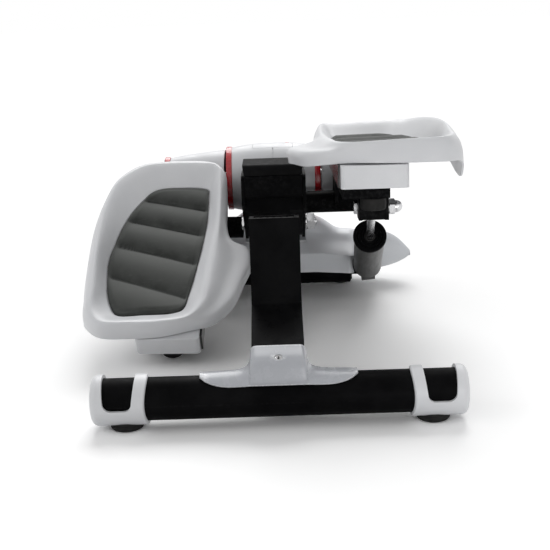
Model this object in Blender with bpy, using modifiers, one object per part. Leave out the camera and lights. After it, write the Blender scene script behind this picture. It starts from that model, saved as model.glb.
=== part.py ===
"""A mini stepper: floor frame, two tilted arms with pedals, two hydraulic cylinders.

Numbers in the tables are millimetres. Working frame: X to the right, Y forward from
the rear floor tube, Z up from the floor. The arm frame of each side is (x, u, w):
u runs back from the pod axis towards the heel and w runs up, with the arm level.
At the end the root is moved so that the bottom centre of the whole is the origin.
"""

from math import cos, pi, radians, sin, sqrt

import bmesh
import bpy
from mathutils import Matrix, Vector

MM = 0.001
GAP = 0.3
FINE, MIDDLE, COARSE = 24, 16, 12

# Driving dimensions. What meets a piece takes its place from that piece's names.
# Rear tube, its end covers and feet.
REAR_R, REAR_WALL, REAR_HALF = 23.0, 2.0, 189.0
CAP_WALL, CAP_LONG, CAP_SPARE, CAP_END, CAP_ROUND = 3.7, 61.0, 2.0, 8.0, 12.0
CAP_R = REAR_R + GAP + CAP_WALL
CAP_OUT = REAR_HALF + CAP_SPARE + CAP_END
CAP_IN = CAP_OUT - CAP_LONG
FOOT_R, FOOT_UNDER, FOOT_HUG = 18.0, 4.0, 2.0
REAR_Z = FOOT_UNDER + CAP_R
REAR_FOOT_X = CAP_IN + 25.0
# Rear post, as (Y, z) over the rear tube's axis, and the white cover at its foot.
POST_HALF, POST_EDGE, POST_MOUTH = 28.0, 5.0, 23.0
POST_NEAR, POST_LOW, POST_HIGH = -13.0, -0.8, 43.2
POST_KNEE, POST_HEAD, POST_BACK, POST_HEEL = (88.3, 74.8), (104.0, 167.0), (143.4, 160.2), (122.8, 41.6)
COVER_WALL, COVER_HALF, COVER_SKIN = 3.2, 84.0, 1.9
# Pod axis, the axles in it and the way the arms stand.
POD_X, POD_Y, POD_Z = 73.0, 484.74, 165.88
POD_R, POD_HALF, POD_WALL = 48.0, 59.8, 2.5
RING_WIDE, RING_IN = 6.3, 37.0
TILT = radians(4.92)
UP = radians(5.11)
DOWN = radians(-29.09)
AXLE_R, AXLE_PLAY, HUB_WALL = 10.0, 0.5, 5.5
HUB_R = AXLE_R + AXLE_PLAY + HUB_WALL
# Front floor parts.
BAR_Y, BAR_Z, BAR_R, BAR_HALF = POD_Y - 36.24, 34.5, 19.0, 106.4
STUD_R, STUD_END, STUD_HEAD = 8.0, 147.0, 12.0
STAB_Y, STAB_HALF, STAB_WALL = POD_Y + 20.26, 115.0, 3.0
BASE_HALF, BASE_T = 60.0, 3.2
BASE_LOW = BAR_Z + BAR_R + GAP
BASE_TOP = BASE_LOW + BASE_T
# Bracket, beam and column between the post and the pod.
PLATE_OUT, PLATE_T = 41.5, 4.0
PLATE_IN = PLATE_OUT - PLATE_T
WEB_BACK, WEB_T, SHELF_LONG, SHELF_HIGH, SHELF_UP = 184.34, 4.0, 60.0, 11.8, 39.62
BOLT_Y, BOLT_Z, BOLT_R = POD_Y - 99.74, POD_Z - 42.88, 5.0
NUT_WIDE, NUT_FLATS = 12.7, 21.0
BEAM_HALF, BEAM_LOW, BEAM_HIGH, SPACER_R = 19.0, POD_Z - 60.88, POD_Z - 17.88, 10.0
COLUMN_HALF, COLUMN_Y, COLUMN_LONG = 30.0, POD_Y - 22.54, 37.8
# Arm: cross tube, channel, the box over it, clevis, bolt and bumper.
CROSS_U, CROSS_W, CROSS_R = 73.1, -28.27, 15.0
CHEEKS = ((84, 89), (131, 136))
CHANNEL_X, CHANNEL_U, CHANNEL_W, CHANNEL_WALL = (82.2, 137.0), (60.0, 330.0), (9.0, 45.0), 3.0
BOX_X, BOX_U, BOX_LOW, BOX_WALL = (79.4, 157.2), (85.0, 350.0), 22.7, 2.2
BOX_TOP = CHANNEL_W[1] + 1.2 + 3.2
PEDAL_WALL = 3.0
MAT_W, MAT_SINK, MAT_THICK = 68.0, 3.0, 3.2
PAD_TOP = MAT_W - 6.2 - 2 * GAP
CLEVIS_X, CLEVIS_U, CLEVIS_W = 120.3, 277.63, -8.28
CLEVIS_OUT, CLEVIS_T = (102.6, 138.0), (4.0, 4.4)
CLEVIS_TOP = CHANNEL_W[0] - GAP
PIN_R, PIN_HEAD, ACORN_FLATS, ACORN_LONG = 3.8, 14.0, 17.0, 7.0
BUMPER_X, BUMPER_U, BUMPER_R, BUMPER_HIGH = 118.0, 320.0, 15.0, 14.1
# Cylinder and rod.
BARREL_R, BARREL_END, GLAND_R, GLAND_LONG = 20.0, 157.0, 22.0, 5.7
ROD_R, ROD_LONG, ROD_EYE, ROD_BORE = 5.0, 283.0, 12.6, 9.3
# Pod crown, as (share of its half width, drop of its radius), and what is let into it.
POD_CROWN = [(0, 0), (15 / 59.8, 0.4), (30 / 59.8, 1.4), (45 / 59.8, 2.9), (1, 5)]
CONSOLE_HALF, LENS_X = 28.0, (-20.0, 12.0)
BUTTON_X, BUTTON_R, BUTTON_OUT = 20.0, 4.0, POD_R - 2.5

# Pedal stations, right side: skirt height A, widest edge B, crest C, mat recess D, and the
# share of the rise that is done halfway between B and C.
PEDAL = [
    # w_a, B(x, u, w), C(x, u, w), D(x, u, w), share
    (50, (73, 53, 66), (80, 64, 80), (83, 102, 68), 0.75),
    (50, (90, 43.5, 66), (93, 61, 81), (92, 98, 68), 0.75),
    (50, (114, 42, 66), (116, 60, 81.5), (116, 97, 68), 0.75),
    (50, (149, 44, 66), (147, 62, 82), (148, 100, 68), 0.75),
    (49, (173, 49, 66), (167, 66, 82), (160, 107, 68), 0.75),
    (47, (193, 63, 66), (183, 78, 82), (168, 117, 68), 0.75),
    (42, (209, 92, 66), (198, 103, 82), (175, 132, 68), 0.75),
    (34, (220, 135, 66), (209, 141, 81.5), (184, 153, 68), 0.75),
    (28, (226, 180, 66), (214, 182, 81), (192, 180, 68), 0.75),
    (27, (226, 240, 66), (214, 240, 80), (202, 235, 68), 0.75),
    (31, (223, 296, 65), (212, 294, 79), (198, 285, 68), 0.75),
    (46, (218, 330, 64), (209, 327, 78), (191, 316, 68), 0.75),
    (50, (199, 347, 64), (196, 344, 77.5), (180, 330, 68), 0.80),
    (50.3, (158, 349.5, 64), (157, 346, 77), (146, 330, 68), 0.80),
    (50.6, (123, 346.5, 64), (123, 343, 77), (113, 327, 68), 0.80),
    (50.9, (92, 338, 64), (92, 334, 77), (100, 319, 68), 0.80),
    (48.6, (64, 328, 63), (77, 311, 76), (93, 295, 68), 0.50),
    (44, (42, 298, 61), (72, 290, 75), (88.5, 265, 68), 0.33),
    (42, (29, 256, 59), (70, 262, 74), (85, 235, 68), 0.30),
    (41, (21.5, 226, 58), (68, 238, 73), (82.5, 212, 68), 0.28),
    (42, (26, 205, 59), (66, 214, 72.5), (80.5, 190, 68), 0.28),
    (46, (47, 193, 62), (63.5, 195, 73), (79.5, 168, 68), 0.45),
    (49, (54.5, 168, 64), (63, 166, 74.5), (79, 148, 68), 0.65),
    (50, (56, 128, 65), (64, 128, 77), (79.5, 128, 68), 0.70),
    (50, (60, 88, 66), (68, 90, 79.5), (80.5, 110, 68), 0.75),
]
PEDAL_FINE = 2

# Front fairing, one row per x: half profile in (Y, z), from the near bottom edge over the
# ridge to the far bottom edge, drawn with a front bar of this place and radius.
FAIRING_BAR = (448.5, 34.5, 19.0)
FAIRING = [
    (0, [(425, 38), (425.9, 66), (455, 90), (462, 116), (505, 112), (545, 72), (556, 30)]),
    (30, [(425, 38), (425.9, 66), (455, 90), (462, 116), (505, 112), (545, 72), (556, 30)]),
    (46, [(425, 38), (425.9, 66), (456, 86), (463, 113), (505, 109), (544, 71), (555, 30)]),
    (56, [(425, 38), (425.9, 66), (457, 84), (466, 104), (503, 104), (543, 70), (554, 30)]),
    (70, [(425, 37), (425.9, 65), (457, 80), (470, 97), (500, 98), (541, 68), (552, 29)]),
    (90, [(425, 36), (425.9, 64), (457, 76), (474, 86), (498, 87), (538, 66), (549, 28)]),
    (108.4, [(425.6, 35), (426.5, 63), (458, 73), (476, 83), (497, 85), (535, 65), (545, 28)]),
    (114.5, [(452, 33), (453, 61), (463, 70), (478, 80), (497, 84.5), (532, 65), (541, 28)]),
    (122, [(474, 31), (475, 59), (478, 68), (484, 77), (497, 84), (528, 65), (537, 27)]),
    (145, [(478, 27), (479, 56), (482, 66), (487, 76), (498, 83), (522, 64), (530, 26)]),
    (164, [(481, 29), (482, 54), (485, 63), (489, 73), (499, 80), (517, 61), (524, 28)]),
    (180, [(485, 33), (486, 50), (488, 57), (491, 65), (499, 71), (513, 55), (518, 32)]),
    (192, [(489, 38), (490, 46), (492, 50), (494, 55), (499, 59), (508, 50), (511, 38)]),
    (199, [(494, 43), (494.5, 45), (495.5, 47), (497, 49), (499, 50.5), (503, 47), (504, 43)]),
]
FAIRING_WALL = 3.0


def clear_scene():
    for found in list(bpy.data.objects):
        bpy.data.objects.remove(found, do_unlink=True)


def collection(name):
    made = bpy.data.collections.new(name)
    bpy.context.scene.collection.children.link(made)
    return made


clear_scene()
PARTS = collection("mini_stepper")
CUTTERS = collection("cutters")

FINISHES = {
    "white": ((0.80, 0.81, 0.83, 1.0), 0.0, 0.32),
    "black": ((0.012, 0.012, 0.013, 1.0), 0.2, 0.38),
    "rubber": ((0.02, 0.02, 0.02, 1.0), 0.0, 0.75),
    "mat": ((0.09, 0.092, 0.09, 1.0), 0.0, 0.6),
    "red": ((0.45, 0.01, 0.015, 1.0), 0.0, 0.3),
    "grey": ((0.10, 0.10, 0.105, 1.0), 0.6, 0.35),
    "steel": ((0.62, 0.62, 0.63, 1.0), 1.0, 0.2),
    "lens": ((0.03, 0.035, 0.04, 1.0), 0.0, 0.08),
}


class Body:
    """One moving body: an empty at its joint, which its pieces are parented to."""

    def __init__(self, name, matrix, parent):
        self.empty = bpy.data.objects.new(name, None)
        self.empty.empty_display_size = 0.05
        PARTS.objects.link(self.empty)
        self.empty.parent = parent
        self.empty.matrix_local = matrix

    def add(self, name, bm, finish=None):
        """Makes the mesh an object of this body. A finish makes it a part, none a cutter."""
        for vert in bm.verts:
            vert.co *= MM
        bmesh.ops.recalc_face_normals(bm, faces=bm.faces)
        mesh = bpy.data.meshes.new(name)
        bm.to_mesh(mesh)
        bm.free()
        made = bpy.data.objects.new(name, mesh)
        made.parent = self.empty
        if finish is None:
            CUTTERS.objects.link(made)
            made.hide_render = True
            made.display_type = "WIRE"
        else:
            PARTS.objects.link(made)
            paint(made, finish)
        return made


def paint(obj, finish):
    color, metal, rough = FINISHES[finish]
    material = bpy.data.materials.new(obj.name)
    material.use_nodes = True
    shader = material.node_tree.nodes["Principled BSDF"]
    shader.inputs["Base Color"].default_value = color
    shader.inputs["Metallic"].default_value = metal
    shader.inputs["Roughness"].default_value = rough
    obj.data.materials.clear()
    obj.data.materials.append(material)


ROOT = Body("root", Matrix(), None)


def rounded(points, radius, steps=3):
    """The polygon with each corner replaced by an arc; a corner is (a, b) or (a, b, its radius)."""
    out = []
    count = len(points)
    for index, point in enumerate(points):
        here = Vector(point[:2])
        before = Vector(points[index - 1][:2])
        after = Vector(points[(index + 1) % count][:2])
        size = point[2] if len(point) > 2 else radius
        one = (before - here).normalized()
        two = (after - here).normalized()
        half = one.angle(two) / 2
        if size <= 0 or half > radians(87):
            out.append(tuple(here))
            continue
        reach = size / max(sin(half) / cos(half), 1e-6)
        limit = 0.49 * min((before - here).length, (after - here).length)
        reach = min(reach, limit)
        size = reach * sin(half) / cos(half)
        centre = here + (one + two).normalized() * (size / sin(half))
        start = here + one * reach - centre
        stop = here + two * reach - centre
        turn = start.angle_signed(stop)
        for step in range(steps + 1):
            angle = -turn * step / steps
            x, y = start
            out.append(
                (
                    centre.x + x * cos(angle) - y * sin(angle),
                    centre.y + x * sin(angle) + y * cos(angle),
                )
            )
    return out


def prism(body, name, points, low, high, axis="X", finish=None, bevel=0.0, steps=1):
    """The polygon pushed along an axis: (Y, Z) points along X, (X, Z) along Y, (X, Y) along Z."""
    spots = {
        "X": lambda a, b, c: (c, a, b),
        "Y": lambda a, b, c: (a, c, b),
        "Z": lambda a, b, c: (a, b, c),
    }[axis]
    bm = bmesh.new()
    face = bm.faces.new([bm.verts.new(spots(a, b, low)) for a, b in points])
    pushed = bmesh.ops.extrude_face_region(bm, geom=[face])["geom"]
    shift = Vector(spots(0, 0, high - low))
    for item in pushed:
        if isinstance(item, bmesh.types.BMVert):
            item.co += shift
    made = body.add(name, bm, finish)
    if bevel:
        soften(made, bevel, steps)
    return made


def block(body, name, low, high, finish=None, bevel=0.0, steps=1):
    (x0, y0, z0), (x1, y1, z1) = low, high
    outline = [(x0, y0), (x1, y0), (x1, y1), (x0, y1)]
    return prism(body, name, outline, z0, z1, "Z", finish, bevel, steps)


def soften(obj, width, steps=1, limit=40):
    bevel = obj.modifiers.new("edges", "BEVEL")
    bevel.width = width * MM
    bevel.segments = steps
    bevel.limit_method = "ANGLE"
    bevel.angle_limit = radians(limit)


def along(start, stop):
    """The matrix, in millimetres, that puts Z from start towards stop."""
    direction = Vector(stop) - Vector(start)
    turn = direction.to_track_quat("Z", "X").to_matrix().to_4x4()
    return Matrix.Translation(Vector(start)) @ turn


def turned(body, name, profile, place, finish=None, steps=MIDDLE, ring=False):
    """A (radius, z) profile turned round the placed Z axis, from its top to its bottom."""
    bm = bmesh.new()
    spots = [bm.verts.new((r, 0, z)) for r, z in profile]
    for one, two in zip(spots, spots[1:]):
        bm.edges.new((one, two))
    if ring:
        bm.edges.new((spots[-1], spots[0]))
    bmesh.ops.spin(
        bm,
        geom=bm.verts[:] + bm.edges[:],
        cent=(0, 0, 0),
        axis=(0, 0, 1),
        angle=2 * pi,
        steps=steps,
        use_duplicate=False,
    )
    bmesh.ops.remove_doubles(bm, verts=bm.verts[:], dist=0.001)
    bmesh.ops.transform(bm, matrix=place, verts=bm.verts[:])
    return body.add(name, bm, finish)


def rod(body, name, start, stop, radius, finish=None, steps=MIDDLE, edge=0.0):
    length = (Vector(stop) - Vector(start)).length
    if edge:
        profile = [(0, length), (radius - edge, length), (radius, length - edge)]
        profile += [(radius, edge), (radius - edge, 0), (0, 0)]
    else:
        profile = [(0, length), (radius, length), (radius, 0), (0, 0)]
    return turned(body, name, profile, along(start, stop), finish, steps)


def tube(body, name, start, stop, outer, inner, finish=None, steps=MIDDLE, edge=0.0):
    length = (Vector(stop) - Vector(start)).length
    profile = [(inner, length), (outer - edge, length)]
    if edge:
        profile += [(outer, length - edge), (outer, edge)]
    profile += [(outer - edge, 0), (inner, 0)]
    return turned(body, name, profile, along(start, stop), finish, steps, ring=True)


def hexagon(body, name, start, stop, flats, bore, finish=None, edge=0.8):
    """A hexagon head or nut, with a round bore if one is given."""
    place = along(start, stop)
    length = (Vector(stop) - Vector(start)).length
    reach = flats / sqrt(3)
    bm = bmesh.new()
    spots = [
        bm.verts.new((reach * cos(k * pi / 3), reach * sin(k * pi / 3), 0)) for k in range(6)
    ]
    face = bm.faces.new(spots)
    pushed = bmesh.ops.extrude_face_region(bm, geom=[face])["geom"]
    for item in pushed:
        if isinstance(item, bmesh.types.BMVert):
            item.co.z += length
    bmesh.ops.transform(bm, matrix=place, verts=bm.verts[:])
    made = body.add(name, bm, finish)
    if edge:
        soften(made, edge, 1)
    if bore:
        far = Vector(stop) - Vector(start)
        cut(
            made,
            rod(body, name + "_bore", Vector(start) - far, Vector(stop) + far, bore, None, COARSE),
        )
    return made


def boolean(obj, other, operation):
    modifier = obj.modifiers.new(other.name, "BOOLEAN")
    modifier.operation = operation
    modifier.solver = "EXACT"
    modifier.object = other
    return obj


def cut(obj, *others):
    for other in others:
        boolean(obj, other, "DIFFERENCE")
    return obj


def weld(obj, *others):
    for other in others:
        boolean(obj, other, "UNION")
    return obj


def closed_curve(points, fine):
    """A closed Catmull-Rom curve through the points, fine steps to each span."""
    out = []
    count = len(points)
    for index in range(count):
        p0, p1, p2, p3 = (Vector(points[(index + k) % count]) for k in (-1, 0, 1, 2))
        for step in range(fine):
            t = step / fine
            out.append(
                0.5
                * (
                    2 * p1
                    + (p2 - p0) * t
                    + (2 * p0 - 5 * p1 + 4 * p2 - p3) * t * t
                    + (3 * p1 - p0 - 3 * p2 + p3) * t * t * t
                )
            )
    return out


def inward(ring, distance):
    """The ring moved inward in plan by the distance."""
    count = len(ring)
    area = sum(
        ring[k].x * ring[(k + 1) % count].y - ring[(k + 1) % count].x * ring[k].y
        for k in range(count)
    )
    side = 1.0 if area > 0 else -1.0
    out = []
    for index, point in enumerate(ring):
        run = ring[(index + 1) % count] - ring[index - 1]
        normal = Vector((-run.y, run.x, 0)).normalized() * side
        out.append(point + normal * distance)
    return out


def loft(bm, rings, close_ends):
    """Quads between neighbouring closed rings of points, with a face on both ends if asked."""
    rows = [[bm.verts.new(point) for point in ring] for ring in rings]
    count = len(rows[0])
    for one, two in zip(rows, rows[1:]):
        for k in range(count):
            j = (k + 1) % count
            bm.faces.new((one[k], one[j], two[j], two[k]))
    if close_ends:
        bm.faces.new(rows[0][::-1])
        bm.faces.new(rows[-1])
    return rows


def arm_point(x, u, w):
    return (x - POD_X, -u, w)


def mirrored(obj, name, body, finish):
    """The evaluated mesh of a right piece, with X turned over, as a piece of the left body."""
    bpy.context.view_layer.update()
    graph = bpy.context.evaluated_depsgraph_get()
    mesh = bpy.data.meshes.new_from_object(obj.evaluated_get(graph))
    mesh.name = name
    mesh.transform(Matrix.Diagonal((-1, 1, 1, 1)))
    mesh.flip_normals()
    made = bpy.data.objects.new(name, mesh)
    made.parent = body.empty
    PARTS.objects.link(made)
    paint(made, finish)
    return made


def rear_tube():
    return tube(
        ROOT,
        "rear_tube",
        (-REAR_HALF, 0, REAR_Z),
        (REAR_HALF, 0, REAR_Z),
        REAR_R,
        REAR_R - REAR_WALL,
        "black",
        FINE,
    )


def rear_cap(side, name):
    """White end cover: a cup on the tube with a U window that is open over the top."""
    bore, deep = REAR_R + GAP, CAP_LONG - CAP_END
    profile = [(0, CAP_LONG)]
    for step in range(7):
        angle = pi / 2 * step / 6
        profile.append(
            (
                CAP_R - CAP_ROUND + CAP_ROUND * sin(angle),
                CAP_LONG - CAP_ROUND + CAP_ROUND * cos(angle),
            )
        )
    profile += [(CAP_R, 1), (CAP_R - 1, 0), (bore, 0), (bore, deep), (0, deep)]
    place = along((side * CAP_IN, 0, REAR_Z), (side * CAP_OUT, 0, REAR_Z))
    cap = turned(ROOT, name, profile, place, "white", FINE)
    # The window is wider at the top, and its floor lies just under the tube's axis.
    top, low = REAR_Z + CAP_R + 4, REAR_Z - 3
    spots = ((CAP_IN + 9, top, 0), (CAP_OUT - 18, top, 0), (CAP_OUT - 24, low), (CAP_IN + 17, low))
    window = rounded([(side * spot[0], *spot[1:]) for spot in spots], 6, 5)
    return cut(cap, prism(ROOT, name + "_window", window, -40, 40, "Y"))


def foot(name, x, y, bar_z, bar_r, hug):
    """Rubber foot that cradles the tube above it, up to hug over the tube's lowest line."""
    edge = 1.5
    top = bar_z - bar_r + hug
    profile = [(0, top), (FOOT_R, top), (FOOT_R, edge), (FOOT_R - edge, 0), (0, 0)]
    pad = turned(ROOT, name, profile, Matrix.Translation((x, y, 0)), "rubber", MIDDLE)
    cradle = rod(ROOT, name + "_cradle", (x - 30, y, bar_z), (x + 30, y, bar_z), bar_r + GAP, None, FINE)
    return cut(pad, cradle)


def leg_top(y):
    """Height of the post's sloping top face at y."""
    rise = (POST_KNEE[1] - POST_HIGH) / (POST_KNEE[0] - POST_NEAR)
    return REAR_Z + POST_HIGH + rise * (y - POST_NEAR)


def post_back(z):
    """Y of the upright's far face at z."""
    run = (POST_BACK[0] - POST_HEEL[0]) / (POST_BACK[1] - POST_HEEL[1])
    return POST_HEEL[0] + run * (z - REAR_Z - POST_HEEL[1])


def spine():
    """Bent rear post: a sloping leg on the rear tube and an upright that leans forward."""
    corners = (
        (POST_NEAR, POST_HIGH, 4),
        (*POST_KNEE, 9),
        (*POST_HEAD, 3),
        (*POST_BACK, 3),
        (*POST_HEEL, 16),
        (POST_NEAR, POST_LOW, 2),
    )
    outline = rounded([(y, REAR_Z + z, size) for y, z, size in corners], 4, 5)
    post = prism(ROOT, "spine", outline, -POST_HALF, POST_HALF, "X", "black", POST_EDGE, 2)
    saddle = rod(ROOT, "spine_saddle", (-60, 0, REAR_Z), (60, 0, REAR_Z), REAR_R + GAP, None, FINE)
    middle = ((POST_HEAD[0] + POST_BACK[0]) / 2, REAR_Z + (POST_HEAD[1] + POST_BACK[1]) / 2)
    place = Matrix.Translation((0, *middle)) @ Matrix.Rotation(radians(-9.86), 4, "X")
    wide = 2 * POST_MOUTH
    bm = bmesh.new()
    bmesh.ops.create_cube(bm, size=1.0)
    bmesh.ops.transform(bm, matrix=place @ Matrix.Diagonal((wide, 30, 20, 1)), verts=bm.verts[:])
    mouth = ROOT.add("spine_mouth", bm)
    cut(post, saddle, mouth)
    bm = bmesh.new()
    bmesh.ops.create_cube(bm, size=1.0)
    play = 2 * GAP
    shape = Matrix.Translation((0, 0, -2.0)) @ Matrix.Diagonal((wide - play, 30 - play, 13, 1))
    bmesh.ops.transform(bm, matrix=place @ shape, verts=bm.verts[:])
    plug = ROOT.add("post_plug", bm, "rubber")
    soften(plug, 1.2)


def over_tube(y):
    """Height of the top of the rear tube's clearance at y."""
    return REAR_Z + sqrt((REAR_R + GAP) ** 2 - y * y)


def foot_cover():
    """White shell over the rear tube at the foot of the post, with a tongue up the post."""
    steps = 24
    rows = []
    for index in range(steps + 1):
        x = COVER_HALF * (2 * index / steps - 1)
        reach = max(abs(x) - COVER_HALF + 34, 0)
        # Half angle of the wrap round the tube, from the top towards the near side.
        near = 50.0 - 42.0 * (reach / 34) ** 1.3
        far = 22.0
        inner = REAR_R + GAP
        outer = inner + COVER_WALL
        outside, inside = [], []
        for k in range(7):
            angle = radians(-near + (near + far) * k / 6)
            outside.append((x, outer * sin(angle), REAR_Z + outer * cos(angle)))
            inside.append((x, inner * sin(angle), REAR_Z + inner * cos(angle)))
        rows.append([Vector(p) for p in outside + inside[::-1]])
    bm = bmesh.new()
    loft(bm, rows, True)
    shell = ROOT.add("foot_cover", bm, "white")
    tongue = rounded(
        [
            (POST_NEAR - 6.5, over_tube(POST_NEAR - 6.5) + 0.75, 2),
            (POST_NEAR - 9.5, REAR_Z + 29, 6),
            (POST_NEAR - 7, REAR_Z + POST_HIGH + 1.4, 6),
            (14, leg_top(14) + GAP + 3.5, 2),
            (14, leg_top(14) + GAP, 0),
        ],
        1,
        4,
    )
    near = POST_NEAR - 0.4
    tongue += [(near, leg_top(POST_NEAR) + 0.4), (near, over_tube(near) + 2.9)]
    side_skin = POST_HALF + 0.35
    wide = side_skin + COVER_SKIN
    weld(shell, prism(ROOT, "foot_cover_tongue", tongue, -wide, wide, "X", None, 1.2))
    waist = [(wide - 5.5, 14.5), (wide + 0.6, 8.5), (wide + 10, 8.5), (wide + 10, 30), (wide - 5.5, 30)]
    for side in (-1, 1):
        points = [(side * a, b) for a, b in waist]
        cut(shell, prism(ROOT, f"foot_cover_waist_{side + 1}", points, REAR_Z + 35, REAR_Z + 89, "Z"))
    leg = [(near, leg_top(near) - 0.18), (88.3, leg_top(88.3) + 0.1), (88.3, 60), (near, 28)]
    cut(shell, prism(ROOT, "foot_cover_leg", leg, -side_skin, side_skin, "X"))
    screw = (0, POST_NEAR + 1, leg_top(POST_NEAR) - 4.2), (0, POST_NEAR + 10, leg_top(POST_NEAR) + 25.8)
    hole = rod(ROOT, "foot_cover_hole", *screw, 3.6, None, COARSE)
    cut(shell, hole)
    return shell


def front_bracket():
    """Two plates with a web, cap, bolt and nut, and the beam and column behind them."""
    corners = [
        (-184.74, 2.12, 3),
        (-66.74, -73.88, 6),
        (-44.74, -69.88, 6),
        (-14.74, -53.88, 6),
        (20.26, -15.88, 8),
        (15.26, 17.12, 8),
        (-29.74, 24.12, 4),
        (-154.74, 38.12, 6),
        (-181.74, 38.62, 9),
    ]
    outline = rounded([(POD_Y + y, POD_Z + z, size) for y, z, size in corners], 5, 3)
    hole = BOLT_R + GAP
    middle = PLATE_OUT - PLATE_T / 2
    for side, name in ((1, "bracket_plate_right"), (-1, "bracket_plate_left")):
        low, high = sorted((side * PLATE_OUT, side * PLATE_IN))
        plate = prism(ROOT, name, outline, low, high, "X", "black", 0.8, 1)
        z = POD_Z - (POD_X - middle) * sin(TILT) / cos(TILT)
        start, stop = side * (PLATE_IN - 8), side * (PLATE_OUT + 8)
        axle = rod(
            ROOT, name + "_axle", (start, POD_Y, z), (stop, POD_Y, z), AXLE_R + 1.2, None, MIDDLE
        )
        bolt = rod(
            ROOT, name + "_bolt", (start, BOLT_Y, BOLT_Z), (stop, BOLT_Y, BOLT_Z), hole, None, COARSE
        )
        cut(plate, axle, bolt)
    inner = PLATE_IN - GAP
    web = POD_Y - WEB_BACK
    shelf = POD_Z + SHELF_UP
    low, high = (-inner, web, POD_Z + 9.12), (inner, web + WEB_T, shelf - 0.4)
    block(ROOT, "bracket_web", low, high, "black", 0.6, 1)
    near, far = web - 0.4, web - 0.4 + SHELF_LONG
    cap = [(near, shelf, 1), (near, shelf + SHELF_HIGH, 4)]
    cap += [(far, shelf + SHELF_HIGH - 1.3, 4), (far, shelf, 1)]
    prism(ROOT, "bracket_cap", rounded(cap, 2, 2), 0.2 - inner, inner - 0.2, "X", "black", 2.0)
    beam = [
        (post_back(BEAM_HIGH) + 0.4, BEAM_HIGH),
        (post_back(BEAM_LOW) + 0.4, BEAM_LOW),
        (COLUMN_Y - GAP, BEAM_LOW),
        (COLUMN_Y - GAP, BEAM_HIGH),
    ]
    tie = prism(ROOT, "tie_beam", beam, -BEAM_HALF, BEAM_HALF, "X", "black", 2.0)
    start, stop = (-BEAM_HALF - 11, BOLT_Y, BOLT_Z), (BEAM_HALF + 11, BOLT_Y, BOLT_Z)
    cut(tie, rod(ROOT, "tie_hole", start, stop, hole, None, COARSE))
    for side in (-1, 1):
        spacer = tube(
            ROOT,
            f"tie_spacer_{side + 1}",
            (side * (BEAM_HALF - 0.5), BOLT_Y, BOLT_Z),
            (side * inner, BOLT_Y, BOLT_Z),
            SPACER_R,
            hole,
            None,
            COARSE,
        )
        weld(tie, spacer)
    seat = PLATE_OUT + GAP
    start, stop = (-seat - 4.2, BOLT_Y, BOLT_Z), (seat + NUT_WIDE + 2.5, BOLT_Y, BOLT_Z)
    bolt = rod(ROOT, "bracket_bolt", start, stop, BOLT_R, "steel", COARSE, 0.6)
    start, stop = (-seat, BOLT_Y, BOLT_Z), (-seat - 7.2, BOLT_Y, BOLT_Z)
    weld(bolt, hexagon(ROOT, "bolt_head", start, stop, NUT_FLATS - 2, 0))
    start, stop = (seat, BOLT_Y, BOLT_Z), (seat + NUT_WIDE, BOLT_Y, BOLT_Z)
    hexagon(ROOT, "bracket_nut", start, stop, NUT_FLATS, hole, "steel")
    low = (-COLUMN_HALF, COLUMN_Y, BASE_TOP + GAP)
    high = (COLUMN_HALF, COLUMN_Y + COLUMN_LONG, BEAM_HIGH - 1)
    block(ROOT, "front_column", low, high, "black", 3.0)


def axle(side, name):
    """Stub axle of one side, along its tilted axis."""
    hub = Vector((side * POD_X, POD_Y, POD_Z))
    axis = Vector((side * cos(TILT), 0, sin(TILT)))
    start = hub - axis * (53 / cos(TILT))
    stop = hub + axis * (80 / cos(TILT))
    return rod(ROOT, name, start, stop, AXLE_R, "steel", MIDDLE, 1.0)


def sector(body, name, low, high, inner, outer, begin, end, finish=None, steps=10):
    """A piece of tube round the pod axis. Angles run from the top towards the near side."""
    points = []
    for k in range(steps + 1):
        angle = radians(begin + (end - begin) * k / steps)
        points.append((POD_Y - outer * sin(angle), POD_Z + outer * cos(angle)))
    for k in range(steps, -1, -1):
        angle = radians(begin + (end - begin) * k / steps)
        points.append((POD_Y - inner * sin(angle), POD_Z + inner * cos(angle)))
    return prism(body, name, points, low, high, "X", finish)


def pod():
    """White central cover, its red rings, and the console that is let into its top."""
    half = [(x * POD_HALF, POD_R - drop) for x, drop in POD_CROWN]
    outside = [(r, x) for x, r in reversed(half)][:-1] + [(r, -x) for x, r in half]
    inside = [(r - POD_WALL, z) for r, z in reversed(outside)]
    place = Matrix.Translation((0, POD_Y, POD_Z)) @ Matrix.Rotation(pi / 2, 4, "Y")
    cover = turned(ROOT, "centre_pod_cover", outside + inside, place, "white", FINE, ring=True)
    wedge = [(0, 0), (-80, 62), (-120, 0), (-80, -100), (45, -100)]
    points = [(POD_Y + a, POD_Z + b) for a, b in wedge]
    mouth = PLATE_OUT + 0.7
    cut(cover, prism(ROOT, "pod_mouth", points, -mouth, mouth, "X"))
    seat = CONSOLE_HALF + GAP
    cut(cover, sector(ROOT, "console_seat", -seat, seat, POD_R - 12, POD_R + 12, -35.4, 21.4))
    low, high = POD_R - 4.4, POD_R + 1
    housing = sector(
        ROOT, "console_housing", -CONSOLE_HALF, CONSOLE_HALF, low, high, -35, 21, "white", 14
    )
    left, right = LENS_X
    cut(housing, sector(ROOT, "lens_seat", left, right, POD_R - 1.4, POD_R + 12, -24, 10))
    start, stop = button_at(POD_R - 8), button_at(POD_R + 12)
    cut(housing, rod(ROOT, "button_seat", start, stop, BUTTON_R + 0.4, None, COARSE))
    left, right = left + GAP, right - GAP
    sector(ROOT, "console_lens", left, right, POD_R - 1.1, POD_R + 0.6, -23.6, 9.6, "lens", 10)
    for side, name in ((1, "inner_ring_right"), (-1, "inner_ring_left")):
        tube(
            ROOT,
            name,
            (side * (POD_HALF + GAP), POD_Y, POD_Z),
            (side * (POD_HALF + GAP + RING_WIDE), POD_Y, POD_Z),
            POD_R - 3.5,
            RING_IN,
            "red",
            FINE,
            0.8,
        )


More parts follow.
